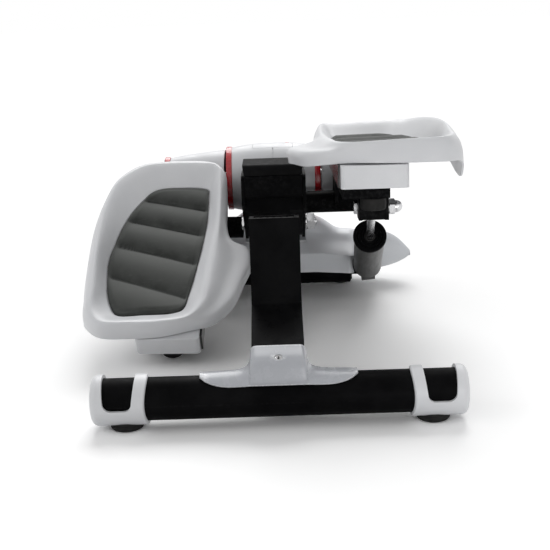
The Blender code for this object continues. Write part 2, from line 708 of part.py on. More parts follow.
def button_at(radius):
    angle = radians(7)
    return (BUTTON_X, POD_Y + radius * sin(angle), POD_Z + radius * cos(angle))


def front_base():
    """Pivot bar turned with its end studs, stabiliser tube, feet and base plate."""
    head, end = STUD_HEAD, STUD_END
    half = [(0, end), (head - 1, end), (head, end - 1), (head, end - 3), (head - 1, end - 4)]
    half += [(STUD_R, end - 4), (STUD_R, BAR_HALF), (BAR_R - 1.5, BAR_HALF), (BAR_R, BAR_HALF - 1.5)]
    profile = half + [(r, -x) for r, x in reversed(half)]
    place = Matrix.Translation((0, BAR_Y, BAR_Z)) @ Matrix.Rotation(pi / 2, 4, "Y")
    turned(ROOT, "front_bar", profile, place, "black", FINE)
    start, stop = (-STAB_HALF, STAB_Y, BAR_Z), (STAB_HALF, STAB_Y, BAR_Z)
    tube(ROOT, "front_stabiliser", start, stop, BAR_R, BAR_R - STAB_WALL, "black", FINE)
    low, high = (-BASE_HALF, BAR_Y - 2.5, BASE_LOW), (BASE_HALF, STAB_Y + 3, BASE_TOP)
    block(ROOT, "base_plate", low, high, "black", 0.6, 1)
    foot("front_foot_right", STAB_HALF - 20, STAB_Y, BAR_Z, BAR_R, 8.5)
    foot("front_foot_left", 20 - STAB_HALF, STAB_Y, BAR_Z, BAR_R, 8.5)


def fairing():
    """White front shell, lofted across from tip to tip."""
    rows = []
    table = [(-x, half) for x, half in reversed(FAIRING[1:])] + FAIRING
    for x, drawn in table:
        half = []
        for index, (y, z) in enumerate(drawn):
            y, z = y - FAIRING_BAR[0], z - FAIRING_BAR[1]
            # The near wall keeps its room to the bar.
            y -= (BAR_R - FAIRING_BAR[2]) * (index < 2)
            half.append((BAR_Y + y, BAR_Z + z))
        fine = []
        for (ya, za), (yb, zb) in zip(half, half[1:]):
            for step in range(2):
                t = step / 2
                fine.append((ya + (yb - ya) * t, za + (zb - za) * t))
        fine.append(half[-1])
        # The inside stays within the tip, so that the wall thins out there.
        wall = min(FAIRING_WALL, 0.28 * (half[4][1] - half[0][1]), 0.3 * (half[-1][0] - half[0][0]))
        middle = Vector(((half[0][0] + half[-1][0]) / 2, half[0][1]))
        inner = []
        for index, point in enumerate(fine):
            before = Vector(fine[max(index - 1, 0)])
            after = Vector(fine[min(index + 1, len(fine) - 1)])
            run = (after - before).normalized()
            normal = Vector((run.y, -run.x))
            here = Vector(point) + normal * wall
            if index in (0, len(fine) - 1):
                here.y = point[1]
                here.x = point[0] + (wall if middle.x > point[0] else -wall)
            inner.append(tuple(here))
        rows.append([Vector((x, a, b)) for a, b in fine + inner[::-1]])
    bm = bmesh.new()
    loft(bm, rows, True)
    shell = ROOT.add("front_fairing", bm, "white")
    low, near, far = BAR_Z + 44.5, BAR_Y - 68.5, STAB_Y + 10
    mouth = [(near, low), (far, low), (far, low + 121), (near, low + 121)]
    wide = PLATE_OUT + 2
    cut(shell, prism(ROOT, "fairing_mouth", mouth, -wide, wide, "X"))
    start, stop, play = BAR_HALF - 2.4, STUD_END + 3, STUD_R + 1.2
    for side in (-1, 1):
        notch = rod(
            ROOT, f"stud_notch_{side + 1}", (side * start, BAR_Y, BAR_Z), (side * stop, BAR_Y, BAR_Z), play
        )
        slot = block(
            ROOT,
            f"stud_slot_{side + 1}",
            (min(side * start, side * stop), BAR_Y - play + 0.2, BAR_Z - 30),
            (max(side * start, side * stop), BAR_Y + play - 0.2, BAR_Z),
        )
        cut(shell, notch, slot)
    return shell


def arm_frame(body):
    """Hub sleeve, two cheeks, cross tube and box channel, welded into one."""
    axis = Vector((cos(TILT), 0, sin(TILT)))
    inside = AXLE_R + AXLE_PLAY
    hub = tube(body, "arm_frame_right", axis * 0.5, axis * 76, HUB_R, inside, "black", MIDDLE)
    for number, (low, high) in enumerate(CHEEKS):
        rise = (high - POD_X) * sin(TILT) / cos(TILT)
        eye = [(-14, rise - 12), (-14, rise + 12), (8, rise + 15)]
        tail = [(62, 41), (120, 41), (120, 14), (92, -30), (72, -42), (44, -32)]
        points = [(-u, w) for u, w in rounded(eye + tail, 6, 2)]
        plate = prism(body, f"cheek_{number}", points, low - POD_X, high - POD_X, "X")
        weld(hub, plate)
    cross = rod(
        body,
        "cross_tube",
        arm_point(42.5, CROSS_U, CROSS_W),
        arm_point(140, CROSS_U, CROSS_W),
        CROSS_R,
        None,
        MIDDLE,
        1.0,
    )
    weld(hub, cross)
    (x0, x1), (u0, u1), (w0, w1) = CHANNEL_X, CHANNEL_U, CHANNEL_W
    channel = block(body, "channel", arm_point(x0, u1, w0), arm_point(x1, u0, w1), None, 2.5)
    weld(hub, channel)
    low = arm_point(x0 + 9.8, u1 + 10, w0 + CHANNEL_WALL)
    high = arm_point(x1 - 9, u0 - 10, w1 - CHANNEL_WALL)
    hollow = block(body, "channel_hollow", low, high)
    bore = rod(body, "hub_bore", axis * -30, axis * 120, inside, None, MIDDLE)
    cut(hub, hollow, bore)
    return hub


def arm_cover(body):
    """White box over the channel, open below, with the pad that carries the pedal."""
    left, right = BOX_X[0] - POD_X, BOX_X[1] - POD_X
    near, far = -BOX_U[1], -BOX_U[0]
    corners = [(left, near, 5), (right, near, 5), (right, far, 9), (left, far, 9)]
    box = prism(
        body, "arm_cover_right", rounded(corners, 5, 4), BOX_LOW, BOX_TOP, "Z", "white", 1.2
    )
    low = arm_point(BOX_X[0] + 16.6, BOX_U[1] - 32, BOX_TOP - 1.4)
    high = arm_point(BOX_X[1] - 11.2, BOX_U[0] + 27, PAD_TOP)
    weld(box, block(body, "cover_pad", low, high))
    left, right, near = left + BOX_WALL, right - BOX_WALL, near + BOX_WALL + 0.8
    corners = [(left, near, 3), (right, near, 3), (right, far + 35, 0), (left, far + 35, 0)]
    under = CHANNEL_W[1] + 1.2
    cut(box, prism(body, "cover_inside", rounded(corners, 3, 3), 10, under, "Z"))
    return box


def pedal_rings(fine):
    """The rings A, B, half, C, D of the pedal, as local points."""
    rings = [[], [], [], [], []]
    for w_a, b, c, d, share in PEDAL:
        half = ((b[0] + c[0]) / 2, (b[1] + c[1]) / 2, b[2] + share * (c[2] - b[2]))
        row = ((b[0], b[1], w_a), b, half, c, d)
        for ring, (x, u, w) in zip(rings, row):
            ring.append(Vector(arm_point(x, u, w)))
    return [closed_curve(ring, fine) for ring in rings]


def pedal(body):
    """Pedal shell: raised rim, slope to the mat recess, thin skirt, hollow below."""
    skirt, edge, half, crest, recess = pedal_rings(PEDAL_FINE)
    down = Vector((0, 0, -1))
    floor = [point + down * MAT_SINK for point in inward(recess, GAP)]
    under_floor = [point + down * 6.2 for point in recess]
    under_crest = [point + down * 3.6 for point in inward(crest, 0.6)]
    under_half = [point + down * 3.2 for point in inward(half, 1.2)]
    under_edge = [point + down * 1.0 for point in inward(edge, PEDAL_WALL)]
    under_skirt = inward(skirt, PEDAL_WALL)
    rings = [floor, recess, crest, half, edge, skirt]
    rings += [under_skirt, under_edge, under_half, under_crest, under_floor]
    bm = bmesh.new()
    loft(bm, rings, True)
    return body.add("pedal_shell_right", bm, "white")


def mat(body):
    """Grey mat that lies in the recess."""
    recess = pedal_rings(PEDAL_FINE)[4]
    outline = [(point.x, point.y) for point in inward(recess, 1.3)]
    low = MAT_W - MAT_SINK + GAP
    return prism(body, "pedal_mat_right", outline, low, low + MAT_THICK, "Z", "mat", 0.8, 1)


def arm_hardware(body):
    """Bumper, clevis, bolt, acorn nut, tapered outer cover, ring and end cap."""
    axis = Vector((cos(TILT), 0, sin(TILT)))
    made = []
    wide = BUMPER_R
    profile = [(0, BUMPER_HIGH), (wide, BUMPER_HIGH), (wide, 6)]
    profile += [(wide - 6 * (1 - cos(radians(a))), 6 - 6 * sin(radians(a))) for a in (30, 60)]
    profile += [(wide - 6, 0), (0, 0)]
    place = Matrix.Translation(arm_point(BUMPER_X, BUMPER_U, CLEVIS_TOP - BUMPER_HIGH))
    bumper = turned(body, "bumper_right", profile, place, "rubber", MIDDLE)
    made.append((bumper, "bumper_left", "rubber"))
    # Cheek outline round the pin, as (back from it, up from it).
    corners = [(19.63, None, 1), (-23.37, None, 1), (-23.37, -6.72, 4)]
    corners += [(-10.37, -13.22, 6), (9.63, -13.22, 6), (19.63, -0.72, 5)]
    side = [
        (b - CLEVIS_U, CLEVIS_TOP if c is None else CLEVIS_W + c, size) for b, c, size in corners
    ]
    near, far = CLEVIS_OUT
    clevis = prism(
        body, "clevis_right", rounded(side, 3, 3), near - POD_X, near + CLEVIS_T[0] - POD_X, "X", "black"
    )
    other = prism(
        body, "clevis_side", rounded(side, 3, 3), far - CLEVIS_T[1] - POD_X, far - POD_X, "X"
    )
    low = arm_point(near + 0.4, CLEVIS_U + 23.37, CLEVIS_W - 6.72)
    high = arm_point(far - 0.5, CLEVIS_U + 19.37, CLEVIS_TOP)
    weld(clevis, other, block(body, "clevis_web", low, high))
    start = arm_point(near - 12.6, CLEVIS_U, CLEVIS_W)
    stop = arm_point(far + 12, CLEVIS_U, CLEVIS_W)
    hole = rod(body, "clevis_hole", start, stop, PIN_R + GAP, None, COARSE)
    cut(clevis, hole)
    made.append((clevis, "clevis_left", "black"))
    seat, end = far + GAP, far + GAP + ACORN_LONG
    start = arm_point(near - 2.6, CLEVIS_U, CLEVIS_W)
    stop = arm_point(end + 1.7, CLEVIS_U, CLEVIS_W)
    bolt = rod(body, "clevis_bolt_right", start, stop, PIN_R, "steel", COARSE)
    start = arm_point(near - 4.2, CLEVIS_U, CLEVIS_W)
    stop = arm_point(near - GAP, CLEVIS_U, CLEVIS_W)
    weld(bolt, hexagon(body, "clevis_bolt_head", start, stop, PIN_HEAD, 0))
    made.append((bolt, "clevis_bolt_left", "steel"))
    start, stop = arm_point(seat, CLEVIS_U, CLEVIS_W), arm_point(end, CLEVIS_U, CLEVIS_W)
    nut = hexagon(body, "acorn_nut_right", start, stop, ACORN_FLATS, 0, "steel", 0.7)
    crown = PIN_R + 3.2
    dome = [(0, 1.4 + crown)]
    dome += [(crown * sin(a * pi / 12), 1.4 + crown * cos(a * pi / 12)) for a in range(1, 7)]
    dome += [(crown, -2), (0, -2)]
    start, stop = arm_point(end - 0.3, CLEVIS_U, CLEVIS_W), arm_point(end + 5, CLEVIS_U, CLEVIS_W)
    weld(nut, turned(body, "acorn_dome", dome, along(start, stop), None, COARSE))
    start, stop = arm_point(seat - 8.3, CLEVIS_U, CLEVIS_W), arm_point(end + 2.1, CLEVIS_U, CLEVIS_W)
    pocket = rod(body, "acorn_bore", start, stop, PIN_R + GAP, None, COARSE)
    cut(nut, pocket)
    made.append((nut, "acorn_nut_left", "steel"))
    wall = 2.4
    outside = [(25.5, 76), (29.5, 60), (33.5, 42), (37.5, 22), (40.5, 4), (42, -8)]
    inside = [(r - wall, z) for r, z in reversed(outside)]
    cover = turned(
        body, "outer_pod_cover_right", outside + inside, along((0, 0, 0), axis), "white", FINE, ring=True
    )
    plane = POD_HALF + GAP + RING_WIDE + 2.2 - POD_X
    cut(cover, block(body, "cover_plane", (-60, -80, -80), (plane, 80, 80)))
    for number, (low, high) in enumerate(CHEEKS):
        slot = block(
            body,
            f"cover_slot_{number}",
            (low - 0.4 - POD_X, -60, -34.5),
            (high + 0.4 - POD_X, -9, 38),
        )
        cut(cover, slot)
    made.append((cover, "outer_pod_cover_left", "white"))
    ring = turned(
        body,
        "outer_ring_right",
        [(22, 84), (25.2, 84), (26.6, 82.5), (26.6, 77.5), (25.4, 76.3), (22, 76.3)],
        along((0, 0, 0), axis),
        "red",
        FINE,
        ring=True,
    )
    made.append((ring, "outer_ring_left", "red"))
    end = [(0, 88), (14, 87.4), (20, 86), (24.5, 84.3), (21.6, 84.3), (21.6, 81.5), (0, 81.5)]
    cap = turned(body, "pod_end_cap_right", end, along((0, 0, 0), axis), "white", FINE)
    made.append((cap, "pod_end_cap_left", "white"))
    return made


def cylinder_pieces(body):
    """Grey body with its lower eye, bored for the rod, and the black gland."""
    wide, end = BARREL_R, BARREL_END
    low = STUD_HEAD + 2
    outer = [(0, end), (wide - 1, end), (wide, end - 1), (wide, low + 10), (wide - 5, low), (0, low)]
    barrel = turned(body, "cylinder_body_right", outer, Matrix(), "grey", FINE)
    eye = rod(body, "cylinder_eye", (-9, 0, 0), (9, 0, 0), STUD_R + 7.5, None, MIDDLE)
    weld(barrel, eye)
    cut(barrel, rod(body, "barrel_bore", (0, 0, 20), (0, 0, end + 13), ROD_R + 3, None, COARSE))
    cut(barrel, rod(body, "eye_bore", (-30, 0, 0), (30, 0, 0), STUD_R + 1.6, None, MIDDLE))
    play, wide = ROD_R + 0.4, GLAND_R
    low, top = end + GAP, end + GAP + GLAND_LONG
    ring = [(play, top), (wide - 10, top), (wide - 9, top - 1.5), (wide - 6, top - 1.5)]
    ring += [(wide - 5, top), (wide - 1, top), (wide, top - 1), (wide, low), (play, low)]
    gland = turned(body, "cylinder_gland_right", ring, Matrix(), "black", FINE, ring=True)
    return [(barrel, "cylinder_body_left", "grey"), (gland, "cylinder_gland_left", "black")]


def rod_piece(body):
    # The pushed-in rod ends short of the barrel's floor.
    shaft = rod(
        body, "cylinder_rod_right", (0, 0, -ROD_LONG + 106), (0, 0, -10.5), ROD_R, "steel", MIDDLE
    )
    eye = rod(body, "rod_eye", (-6, 0, 0), (6, 0, 0), ROD_EYE, None, MIDDLE)
    weld(shaft, eye)
    cut(shaft, rod(body, "rod_eye_bore", (-20, 0, 0), (20, 0, 0), ROD_BORE, None, FINE))
    return [(shaft, "cylinder_rod_left", "steel")]


def arm_axis(side):
    return Vector((cos(TILT), 0, side * sin(TILT)))


def arm_matrix(side, swing):
    hub = Matrix.Translation(Vector((side * POD_X, POD_Y, POD_Z)) * MM)
    return hub @ Matrix.Rotation(-swing, 4, arm_axis(side))


def pivots(side, swing):
    """Lower and upper pivot of one cylinder, in millimetres."""
    local = Vector(arm_point(CLEVIS_X, CLEVIS_U, CLEVIS_W))
    local.x *= side
    turn = Matrix.Rotation(-swing, 3, arm_axis(side))
    upper = Vector((side * POD_X, POD_Y, POD_Z)) + turn @ local
    # The lower pivot lies in the plane that the upper one turns in.
    plane = cos(TILT) * CLEVIS_X + sin(TILT) * (POD_Z + CLEVIS_W)
    lower = Vector((side * (plane - sin(TILT) * BAR_Z) / cos(TILT), BAR_Y, BAR_Z))
    return lower, upper


def cylinder_matrix(side, swing, at_upper):
    lower, upper = pivots(side, swing)
    z = (upper - lower).normalized()
    x = arm_axis(side)
    y = z.cross(x)
    turn = Matrix((x, y, z)).transposed().to_4x4()
    return Matrix.Translation((upper if at_upper else lower) * MM) @ turn


def right_and_left(builder, bodies):
    for obj, name, finish in builder(bodies[0]):
        mirrored(obj, name, bodies[1], finish)


def moving_parts():
    arms = [
        Body("right_arm_joint", arm_matrix(1, UP), ROOT.empty),
        Body("left_arm_joint", arm_matrix(-1, DOWN), ROOT.empty),
    ]
    barrels = [
        Body("right_cylinder_joint", cylinder_matrix(1, UP, False), ROOT.empty),
        Body("left_cylinder_joint", cylinder_matrix(-1, DOWN, False), ROOT.empty),
    ]
    rods = [
        Body("right_rod_joint", cylinder_matrix(1, UP, True), ROOT.empty),
        Body("left_rod_joint", cylinder_matrix(-1, DOWN, True), ROOT.empty),
    ]
    right_and_left(lambda body: [(arm_frame(body), "arm_frame_left", "black")], arms)
    right_and_left(lambda body: [(arm_cover(body), "arm_cover_left", "white")], arms)
    right_and_left(lambda body: [(pedal(body), "pedal_shell_left", "white")], arms)
    right_and_left(lambda body: [(mat(body), "pedal_mat_left", "mat")], arms)
    right_and_left(arm_hardware, arms)
    right_and_left(cylinder_pieces, barrels)
    right_and_left(rod_piece, rods)
    at = Vector(button_at(BUTTON_OUT)) * MM
    up = Vector(button_at(BUTTON_OUT + 14.5)) * MM
    place = (up - at).to_track_quat("Z", "X").to_matrix().to_4x4()
    button = Body("button_joint", Matrix.Translation(at) @ place, ROOT.empty)
    wide = BUTTON_R
    profile = [(0, 5.2), (wide - 1, 5.0), (wide, 4.2), (wide, -1.5), (0, -1.5)]
    turned(button, "console_button", profile, Matrix(), "red", COARSE)


def centre_root():
    """Moves the root so that the bottom centre of all parts is the origin."""
    bpy.context.view_layer.update()
    graph = bpy.context.evaluated_depsgraph_get()
    low = Vector((1e9, 1e9, 1e9))
    high = -low
    for obj in PARTS.objects:
        if obj.type != "MESH":
            continue
        evaluated = obj.evaluated_get(graph)
        mesh = evaluated.to_mesh()
        for vert in mesh.vertices:
            point = evaluated.matrix_world @ vert.co
            low = Vector(map(min, low, point))
            high = Vector(map(max, high, point))
        evaluated.to_mesh_clear()
    shift = -Vector(((low.x + high.x) / 2, (low.y + high.y) / 2, low.z))
    ROOT.empty.location = shift
    bpy.context.view_layer.update()
    print("shift mm", [round(v / MM, 3) for v in shift], "size mm", [round(v / MM, 2) for v in high - low])
    return shift


def print_joints(shift):
    """Prints the joint places and the straight-line ratios of the followers."""
    for side, rest, label in ((1, UP, "right"), (-1, DOWN, "left")):
        hub = Vector((side * POD_X, POD_Y, POD_Z)) * MM + shift
        lower, upper = pivots(side, rest)
        print(label, "hub", [round(v, 6) for v in hub], "axis", [round(v, 6) for v in arm_axis(side)])
        print(label, "lower", [round(v, 6) for v in lower * MM + shift])
        print(label, "upper", [round(v, 6) for v in upper * MM + shift])
        print(label, "rod axis", [round(v, 6) for v in (upper - lower).normalized()])
        for k in range(0, 9):
            swing = DOWN + (UP - DOWN) * k / 8
            low, high = pivots(side, swing)
            flat = (high - low).normalized()
            first = (upper - lower).normalized()
            turn = first.angle(flat)
            if first.cross(flat).dot(arm_axis(side)) < 0:
                turn = -turn
            print("  swing", round(rest - swing, 4), "turn", round(turn, 4), "long", round((high - low).length, 2))
    at = Vector(button_at(45.5)) * MM + shift
    axis = (Vector(button_at(60)) - Vector(button_at(45.5))).normalized()
    print("button", [round(v, 6) for v in at], "axis", [round(v, 6) for v in axis])


rear_tube()
rear_cap(1, "rear_cap_right")
rear_cap(-1, "rear_cap_left")
foot("rear_foot_right", REAR_FOOT_X, 0, REAR_Z, CAP_R, FOOT_HUG)
foot("rear_foot_left", -REAR_FOOT_X, 0, REAR_Z, CAP_R, FOOT_HUG)
spine()
foot_cover()
front_bracket()
axle(1, "axle_right")
axle(-1, "axle_left")
pod()
front_base()
fairing()
moving_parts()
SHIFT = centre_root()
print_joints(SHIFT)
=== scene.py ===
"""Mini stepper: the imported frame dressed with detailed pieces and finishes.

Sizes are millimetres in the machine's own axes, unless a name says otherwise: X to the
right, Y away from the rear floor tube, Z up from the floor. An arm's own axes are
(x, u, w): u runs back from the pod axis towards the heel, and w runs up from the arm.
A left piece is the right one mirrored in X.
"""

import sys

import logging
from abc import ABC, abstractmethod
from collections.abc import Iterable, Mapping, Sequence
from dataclasses import dataclass
from enum import Enum
from math import cos, exp, hypot, pi, radians, sin, sqrt, tan
from typing import ClassVar

import bmesh
import bpy
from mathutils import Matrix, Vector


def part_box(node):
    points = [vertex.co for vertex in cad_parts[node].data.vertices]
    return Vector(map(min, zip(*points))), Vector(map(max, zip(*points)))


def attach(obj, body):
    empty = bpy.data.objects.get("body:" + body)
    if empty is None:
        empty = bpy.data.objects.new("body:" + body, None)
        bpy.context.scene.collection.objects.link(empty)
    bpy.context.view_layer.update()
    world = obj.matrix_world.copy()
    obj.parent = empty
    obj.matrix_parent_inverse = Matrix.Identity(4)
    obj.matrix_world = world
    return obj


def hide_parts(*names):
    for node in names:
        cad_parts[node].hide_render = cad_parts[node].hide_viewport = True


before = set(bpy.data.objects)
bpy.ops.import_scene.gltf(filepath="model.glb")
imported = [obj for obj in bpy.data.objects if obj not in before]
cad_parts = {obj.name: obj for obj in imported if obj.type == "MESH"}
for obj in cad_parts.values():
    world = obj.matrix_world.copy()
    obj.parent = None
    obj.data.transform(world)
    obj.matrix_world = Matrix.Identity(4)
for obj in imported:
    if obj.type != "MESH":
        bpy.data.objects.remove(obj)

LOG = logging.getLogger("mini_stepper")
MM = 0.001

BMesh = bmesh.types.BMesh
Socket = bpy.types.NodeSocket
Flat = tuple[float, ...]
Spot = tuple[float, float, float]
Point = Spot | Vector
Colour = tuple[float, float, float, float]

# Height of the rear floor tube's axis, which runs along X at Y = 0.
TUBE_Z = 31.0
# (Y, Z) of the other axes along X: the pod, the bar that carries the barrels, the cross bolt.
POD = (484.74, 165.88)
PIVOT_BAR = (448.5, 34.5)
YOKE_BOLT = (385.0, 123.0)
# Where an arm's hinge axis crosses the pod's, and its tilt, outward and up.
HUB_X = 73.0
TILT = radians(4.92)
# How the crowned covers are eased and shaded, so that their soft facets stay smooth.
CROWNED = {"sharp": 45, "edge_from": 50}


class Side(Enum):
    """The two halves of the machine, as the user stands on it."""

    RIGHT = 1
    LEFT = -1

    @property
    def word(self) -> str:
        """The side's name, as the frame's nodes and bodies write it."""
        return self.name.lower()


class Axis(Enum):
    """The direction that a flat outline is pushed along."""

    X = "x"
    Y = "y"
    Z = "z"

    def spot(self, a: float, b: float, along: float) -> Spot:
        """Places an outline's point and its height along this axis in space."""
        return {Axis.X: (along, a, b), Axis.Y: (a, along, b), Axis.Z: (a, b, along)}[self]


class Slot(Enum):
    """The record's material slots."""

    WHITE = "white"
    BLACK = "black"
    RUBBER = "rubber"
    MAT = "mat"
    RED = "red"
    GREY = "grey"
    BLACK_PLASTIC = "black_plastic"
    CHROME = "chrome"
    STEEL = "steel"
    LENS = "lens"


# ---------------------------------------------------------------- finishes


@dataclass(frozen=True)
class Pattern:
    """A noise in the object's own coordinates, or the distance to scattered cells.

    Attributes:
        scale: Features per metre.
        detail: Octaves.
        rough: Share of each finer octave.
        stretch: Scale along each axis.
        cells: True for scattered cells.
    """

    scale: float
    detail: float = 2.0
    rough: float = 0.5
    stretch: Spot = (1, 1, 1)
    cells: bool = False


@dataclass(frozen=True)
class Patch:
    """A pattern whose values from low to high become start to stop."""

    pattern: Pattern
    low: float = 0.3
    high: float = 0.7
    start: float = 0.0
    stop: float = 1.0


@dataclass(frozen=True)
class Wear:
    """Dust, scuffs or painted shade, laid over by a share, and only where pointiness lies between
    two edges.
    """

    colour: Colour
    share: Patch | float = 1.0
    edges: tuple[float, float] | None = None


@dataclass(frozen=True)
class Relief:
    """A pattern as bumps, with their depth and the share of it that shows."""

    pattern: Pattern
    deep: float
    strength: float


class NodeBench:
    """A node tree, with short calls that add and wire its nodes."""

    def __init__(self, tree: bpy.types.NodeTree) -> None:
        """Takes the tree."""
        self.tree = tree

    def add(
        self, kind: str, inputs: Mapping[str | int, object], **options: object
    ) -> bpy.types.Node:
        """Adds a node.

        Args:
            kind: Blender's node type without its first word.
            inputs: A plain value or another node's socket for each input.
            **options: Attributes to set on the node.

        Returns:
            The node.
        """
        node = self.tree.nodes.new(f"ShaderNode{kind}")
        for key, value in options.items():
            setattr(node, key, value)
        for key, value in inputs.items():
            self.put(node.inputs[key], value)
        return node

    def put(self, socket: Socket, value: object) -> None:
        """Links or sets a socket.

        Args:
            socket: The socket.
            value: Another node's socket, or a plain value.
        """
        if isinstance(value, Socket):
            self.tree.links.new(value, socket)
        else:
            socket.default_value = value

    def pattern(self, pattern: Pattern) -> Socket:
        """Wires a pattern.

        Args:
            pattern: The pattern.

        Returns:
            Its value.
        """
        coords = self.add("TexCoord", {}).outputs["Object"]
        mapped = self.add("Mapping", {"Vector": coords, "Scale": pattern.stretch}).outputs["Vector"]
        inputs = {"Vector": mapped, "Scale": pattern.scale}
        if pattern.cells:
            return self.add("TexVoronoi", inputs).outputs["Distance"]
        inputs |= {"Detail": pattern.detail, "Roughness": pattern.rough}
        return self.add("TexNoise", inputs).outputs["Fac"]

    def spread(
        self, value: object, low: float, high: float, start: float = 0, stop: float = 1
    ) -> Socket:
        """Maps a value from low..high to start..stop, clamped.

        Args:
            value: The value or its socket.
            low: What becomes start.
            high: What becomes stop.
            start: The first result.
            stop: The last result.

        Returns:
            The result.
        """
        inputs = {"Value": value, "From Min": low, "From Max": high}
        inputs |= {"To Min": start, "To Max": stop}
        return self.add("MapRange", inputs, clamp=True).outputs["Result"]

    def patch(self, patch: Patch, base: float = 0.0) -> Socket:
        """A patch's value, from a base up."""
        start, stop = base + patch.start, base + patch.stop
        return self.spread(self.pattern(patch.pattern), patch.low, patch.high, start, stop)

    def reckon(self, kind: str, one: object, two: object) -> Socket:
        """A Math node of that operation."""
        return self.add("Math", {0: one, 1: two}, operation=kind).outputs[0]

    def blend(self, share: object, one: object, two: object) -> Socket:
        """Mixes two colours by a share."""
        return self.add("Mix", {0: share, 6: one, 7: two}, data_type="RGBA").outputs[2]

    def wear(self, tone: object, wear: Wear) -> Socket:
        """Lays a colour over a tone: dust, a scuff, or painted shade in hollows.

        Args:
            tone: The colour under it.
            overlay: The colour laid over.

        Returns:
            The colour of both.
        """
        share = self.patch(wear.share) if isinstance(wear.share, Patch) else wear.share
        if wear.edges:
            pointed = self.add("NewGeometry", {}).outputs["Pointiness"]
            share = self.reckon("MULTIPLY", self.spread(pointed, *wear.edges), share)
        return self.blend(share, tone, wear.colour)

    def bump(self, relief: Relief, under: Socket | None) -> Socket:
        """Wires bumps.

        Args:
            relief: The bumps.
            under: The normal that they stand on.

        Returns:
            Their normal.
        """
        inputs = {"Strength": relief.strength, "Distance": relief.deep * MM}
        inputs["Height"] = self.pattern(relief.pattern)
        if under is not None:
            inputs["Normal"] = under
        return self.add("Bump", inputs).outputs["Normal"]


@dataclass(frozen=True)
class Finish:
    """A surface finish, whose material is made once and handed out.

    Attributes:
        slot: The record's slot that it belongs to.
        colour: The main colour.
        shade: A second colour.
        cloud: Where the second colour shows.
        gloss: Roughness, from the base roughness up.
        relief: Bumps, from the lowest layer up.
        marks_and_shade: Colours laid over from the lowest layer up: marks and painted shade.
        rough: The base roughness.
        sheen: Specular level.
        metal: Share of metal.
        coat: Weight of a clear coat.
        coat_rough: Roughness of that coat.
        made: The materials of all finishes so far.
    """

    slot: Slot
    colour: Colour
    shade: Colour
    cloud: Patch
    gloss: Patch
    relief: tuple[Relief, ...]
    marks_and_shade: tuple[Wear, ...] = ()
    rough: float = 0.0
    sheen: float = 0.5
    metal: float = 0.0
    coat: float = 0.0
    coat_rough: float = 0.03
    made: ClassVar[dict[str, bpy.types.Material]] = {}

    def material(self) -> bpy.types.Material:
        """Makes the finish's material on first use.

        Returns:
            The material.
        """
        key = repr(self)
        if key not in self.made:
            self.made[key] = bpy.data.materials.new(type(self).__name__)
            self.made[key].use_nodes = True
            self.dress(NodeBench(self.made[key].node_tree))
        return self.made[key]

    def ground(self, bench: NodeBench) -> object:
        """The colour under the clouds and the laid-over colours."""
        return self.colour

    def dress(self, bench: NodeBench) -> None:
        """Wires the colours, the gloss and the bumps, and sets what is even all over.

        Args:
            bench: The material's tree.
        """
        tone = bench.blend(bench.patch(self.cloud), self.ground(bench), self.shade)
        for wear in self.marks_and_shade:
            tone = bench.wear(tone, wear)
        normal = None
        for relief in self.relief:
            normal = bench.bump(relief, normal)
        inputs = {"Base Color": tone, "Normal": normal}
        inputs |= {"Roughness": bench.patch(self.gloss, self.rough)}
        inputs |= {"Metallic": self.metal, "Specular IOR Level": self.sheen}
        inputs |= {"Coat Weight": self.coat, "Coat Roughness": self.coat_rough}
        for name, value in inputs.items():
            bench.put(bench.tree.nodes["Principled BSDF"].inputs[name], value)


@dataclass(frozen=True)
class MouldedWhite(Finish):
    """Satin white moulded plastic with a faint grain, flow marks and handled edges."""

    slot: Slot = Slot.WHITE
    colour: Colour = (0.74, 0.747, 0.765, 1)
    shade: Colour = (0.675, 0.685, 0.708, 1)
    cloud: Patch = Patch(Pattern(22, 3, 0.55), 0.32, stop=0.55)
    gloss: Patch = Patch(Pattern(60, 4, 0.6, (1, 0.35, 1)), 0.3, 0.72, -0.07, 0.11)
    relief: tuple[Relief, ...] = (
        Relief(Pattern(46, 2, 0.4), 0.5, 0.10),
        Relief(Pattern(900), 0.06, 0.16),
    )
    marks_and_shade: tuple[Wear, ...] = (
        Wear(
            (0.80, 0.81, 0.825, 1), Patch(Pattern(420, 3, 0.6), 0.4, 0.6, 0.2, 0.7), (0.515, 0.60)
        ),
    )
    rough: float = 0.36
    sheen: float = 0.32
    coat: float = 0.05
    coat_rough: float = 0.2


@dataclass(frozen=True)
class PowderBlack(Finish):
    """Semi-gloss black powder coat on steel: orange peel, fine specks and rubbed edges."""

    slot: Slot = Slot.BLACK
    colour: Colour = (0.0026, 0.0026, 0.0029, 1)
    shade: Colour = (0.0062, 0.0062, 0.0066, 1)
    cloud: Patch = Patch(Pattern(30, 4, 0.6), 0.35)
    gloss: Patch = Patch(Pattern(85, 4, 0.65), 0.3, 0.72, -0.06, 0.14)
    relief: tuple[Relief, ...] = (
        Relief(Pattern(520), 0.12, 0.16),
        Relief(Pattern(1500, cells=True), 0.012, 0.2),
    )
    marks_and_shade: tuple[Wear, ...] = (
        Wear((0.03, 0.03, 0.031, 1), Patch(Pattern(240, 4, 0.7), 0.46, stop=0.5), (0.53, 0.66)),
    )
    rough: float = 0.42
    sheen: float = 0.018


@dataclass(frozen=True)
class SatinBlackPlastic(Finish):
    """Matt black plastic with a fine leathery grain."""

    slot: Slot = Slot.BLACK_PLASTIC
    colour: Colour = (0.0045, 0.0045, 0.0048, 1)
    shade: Colour = (0.008, 0.008, 0.0084, 1)
    cloud: Patch = Patch(Pattern(50, 3, 0.6))
    gloss: Patch = Patch(Pattern(150, 3, 0.6), start=0.6, stop=0.75)
    relief: tuple[Relief, ...] = (
        Relief(Pattern(60), 0.3, 0.1),
        Relief(Pattern(1300, cells=True), 0.08, 0.3),
    )
    sheen: float = 0.05


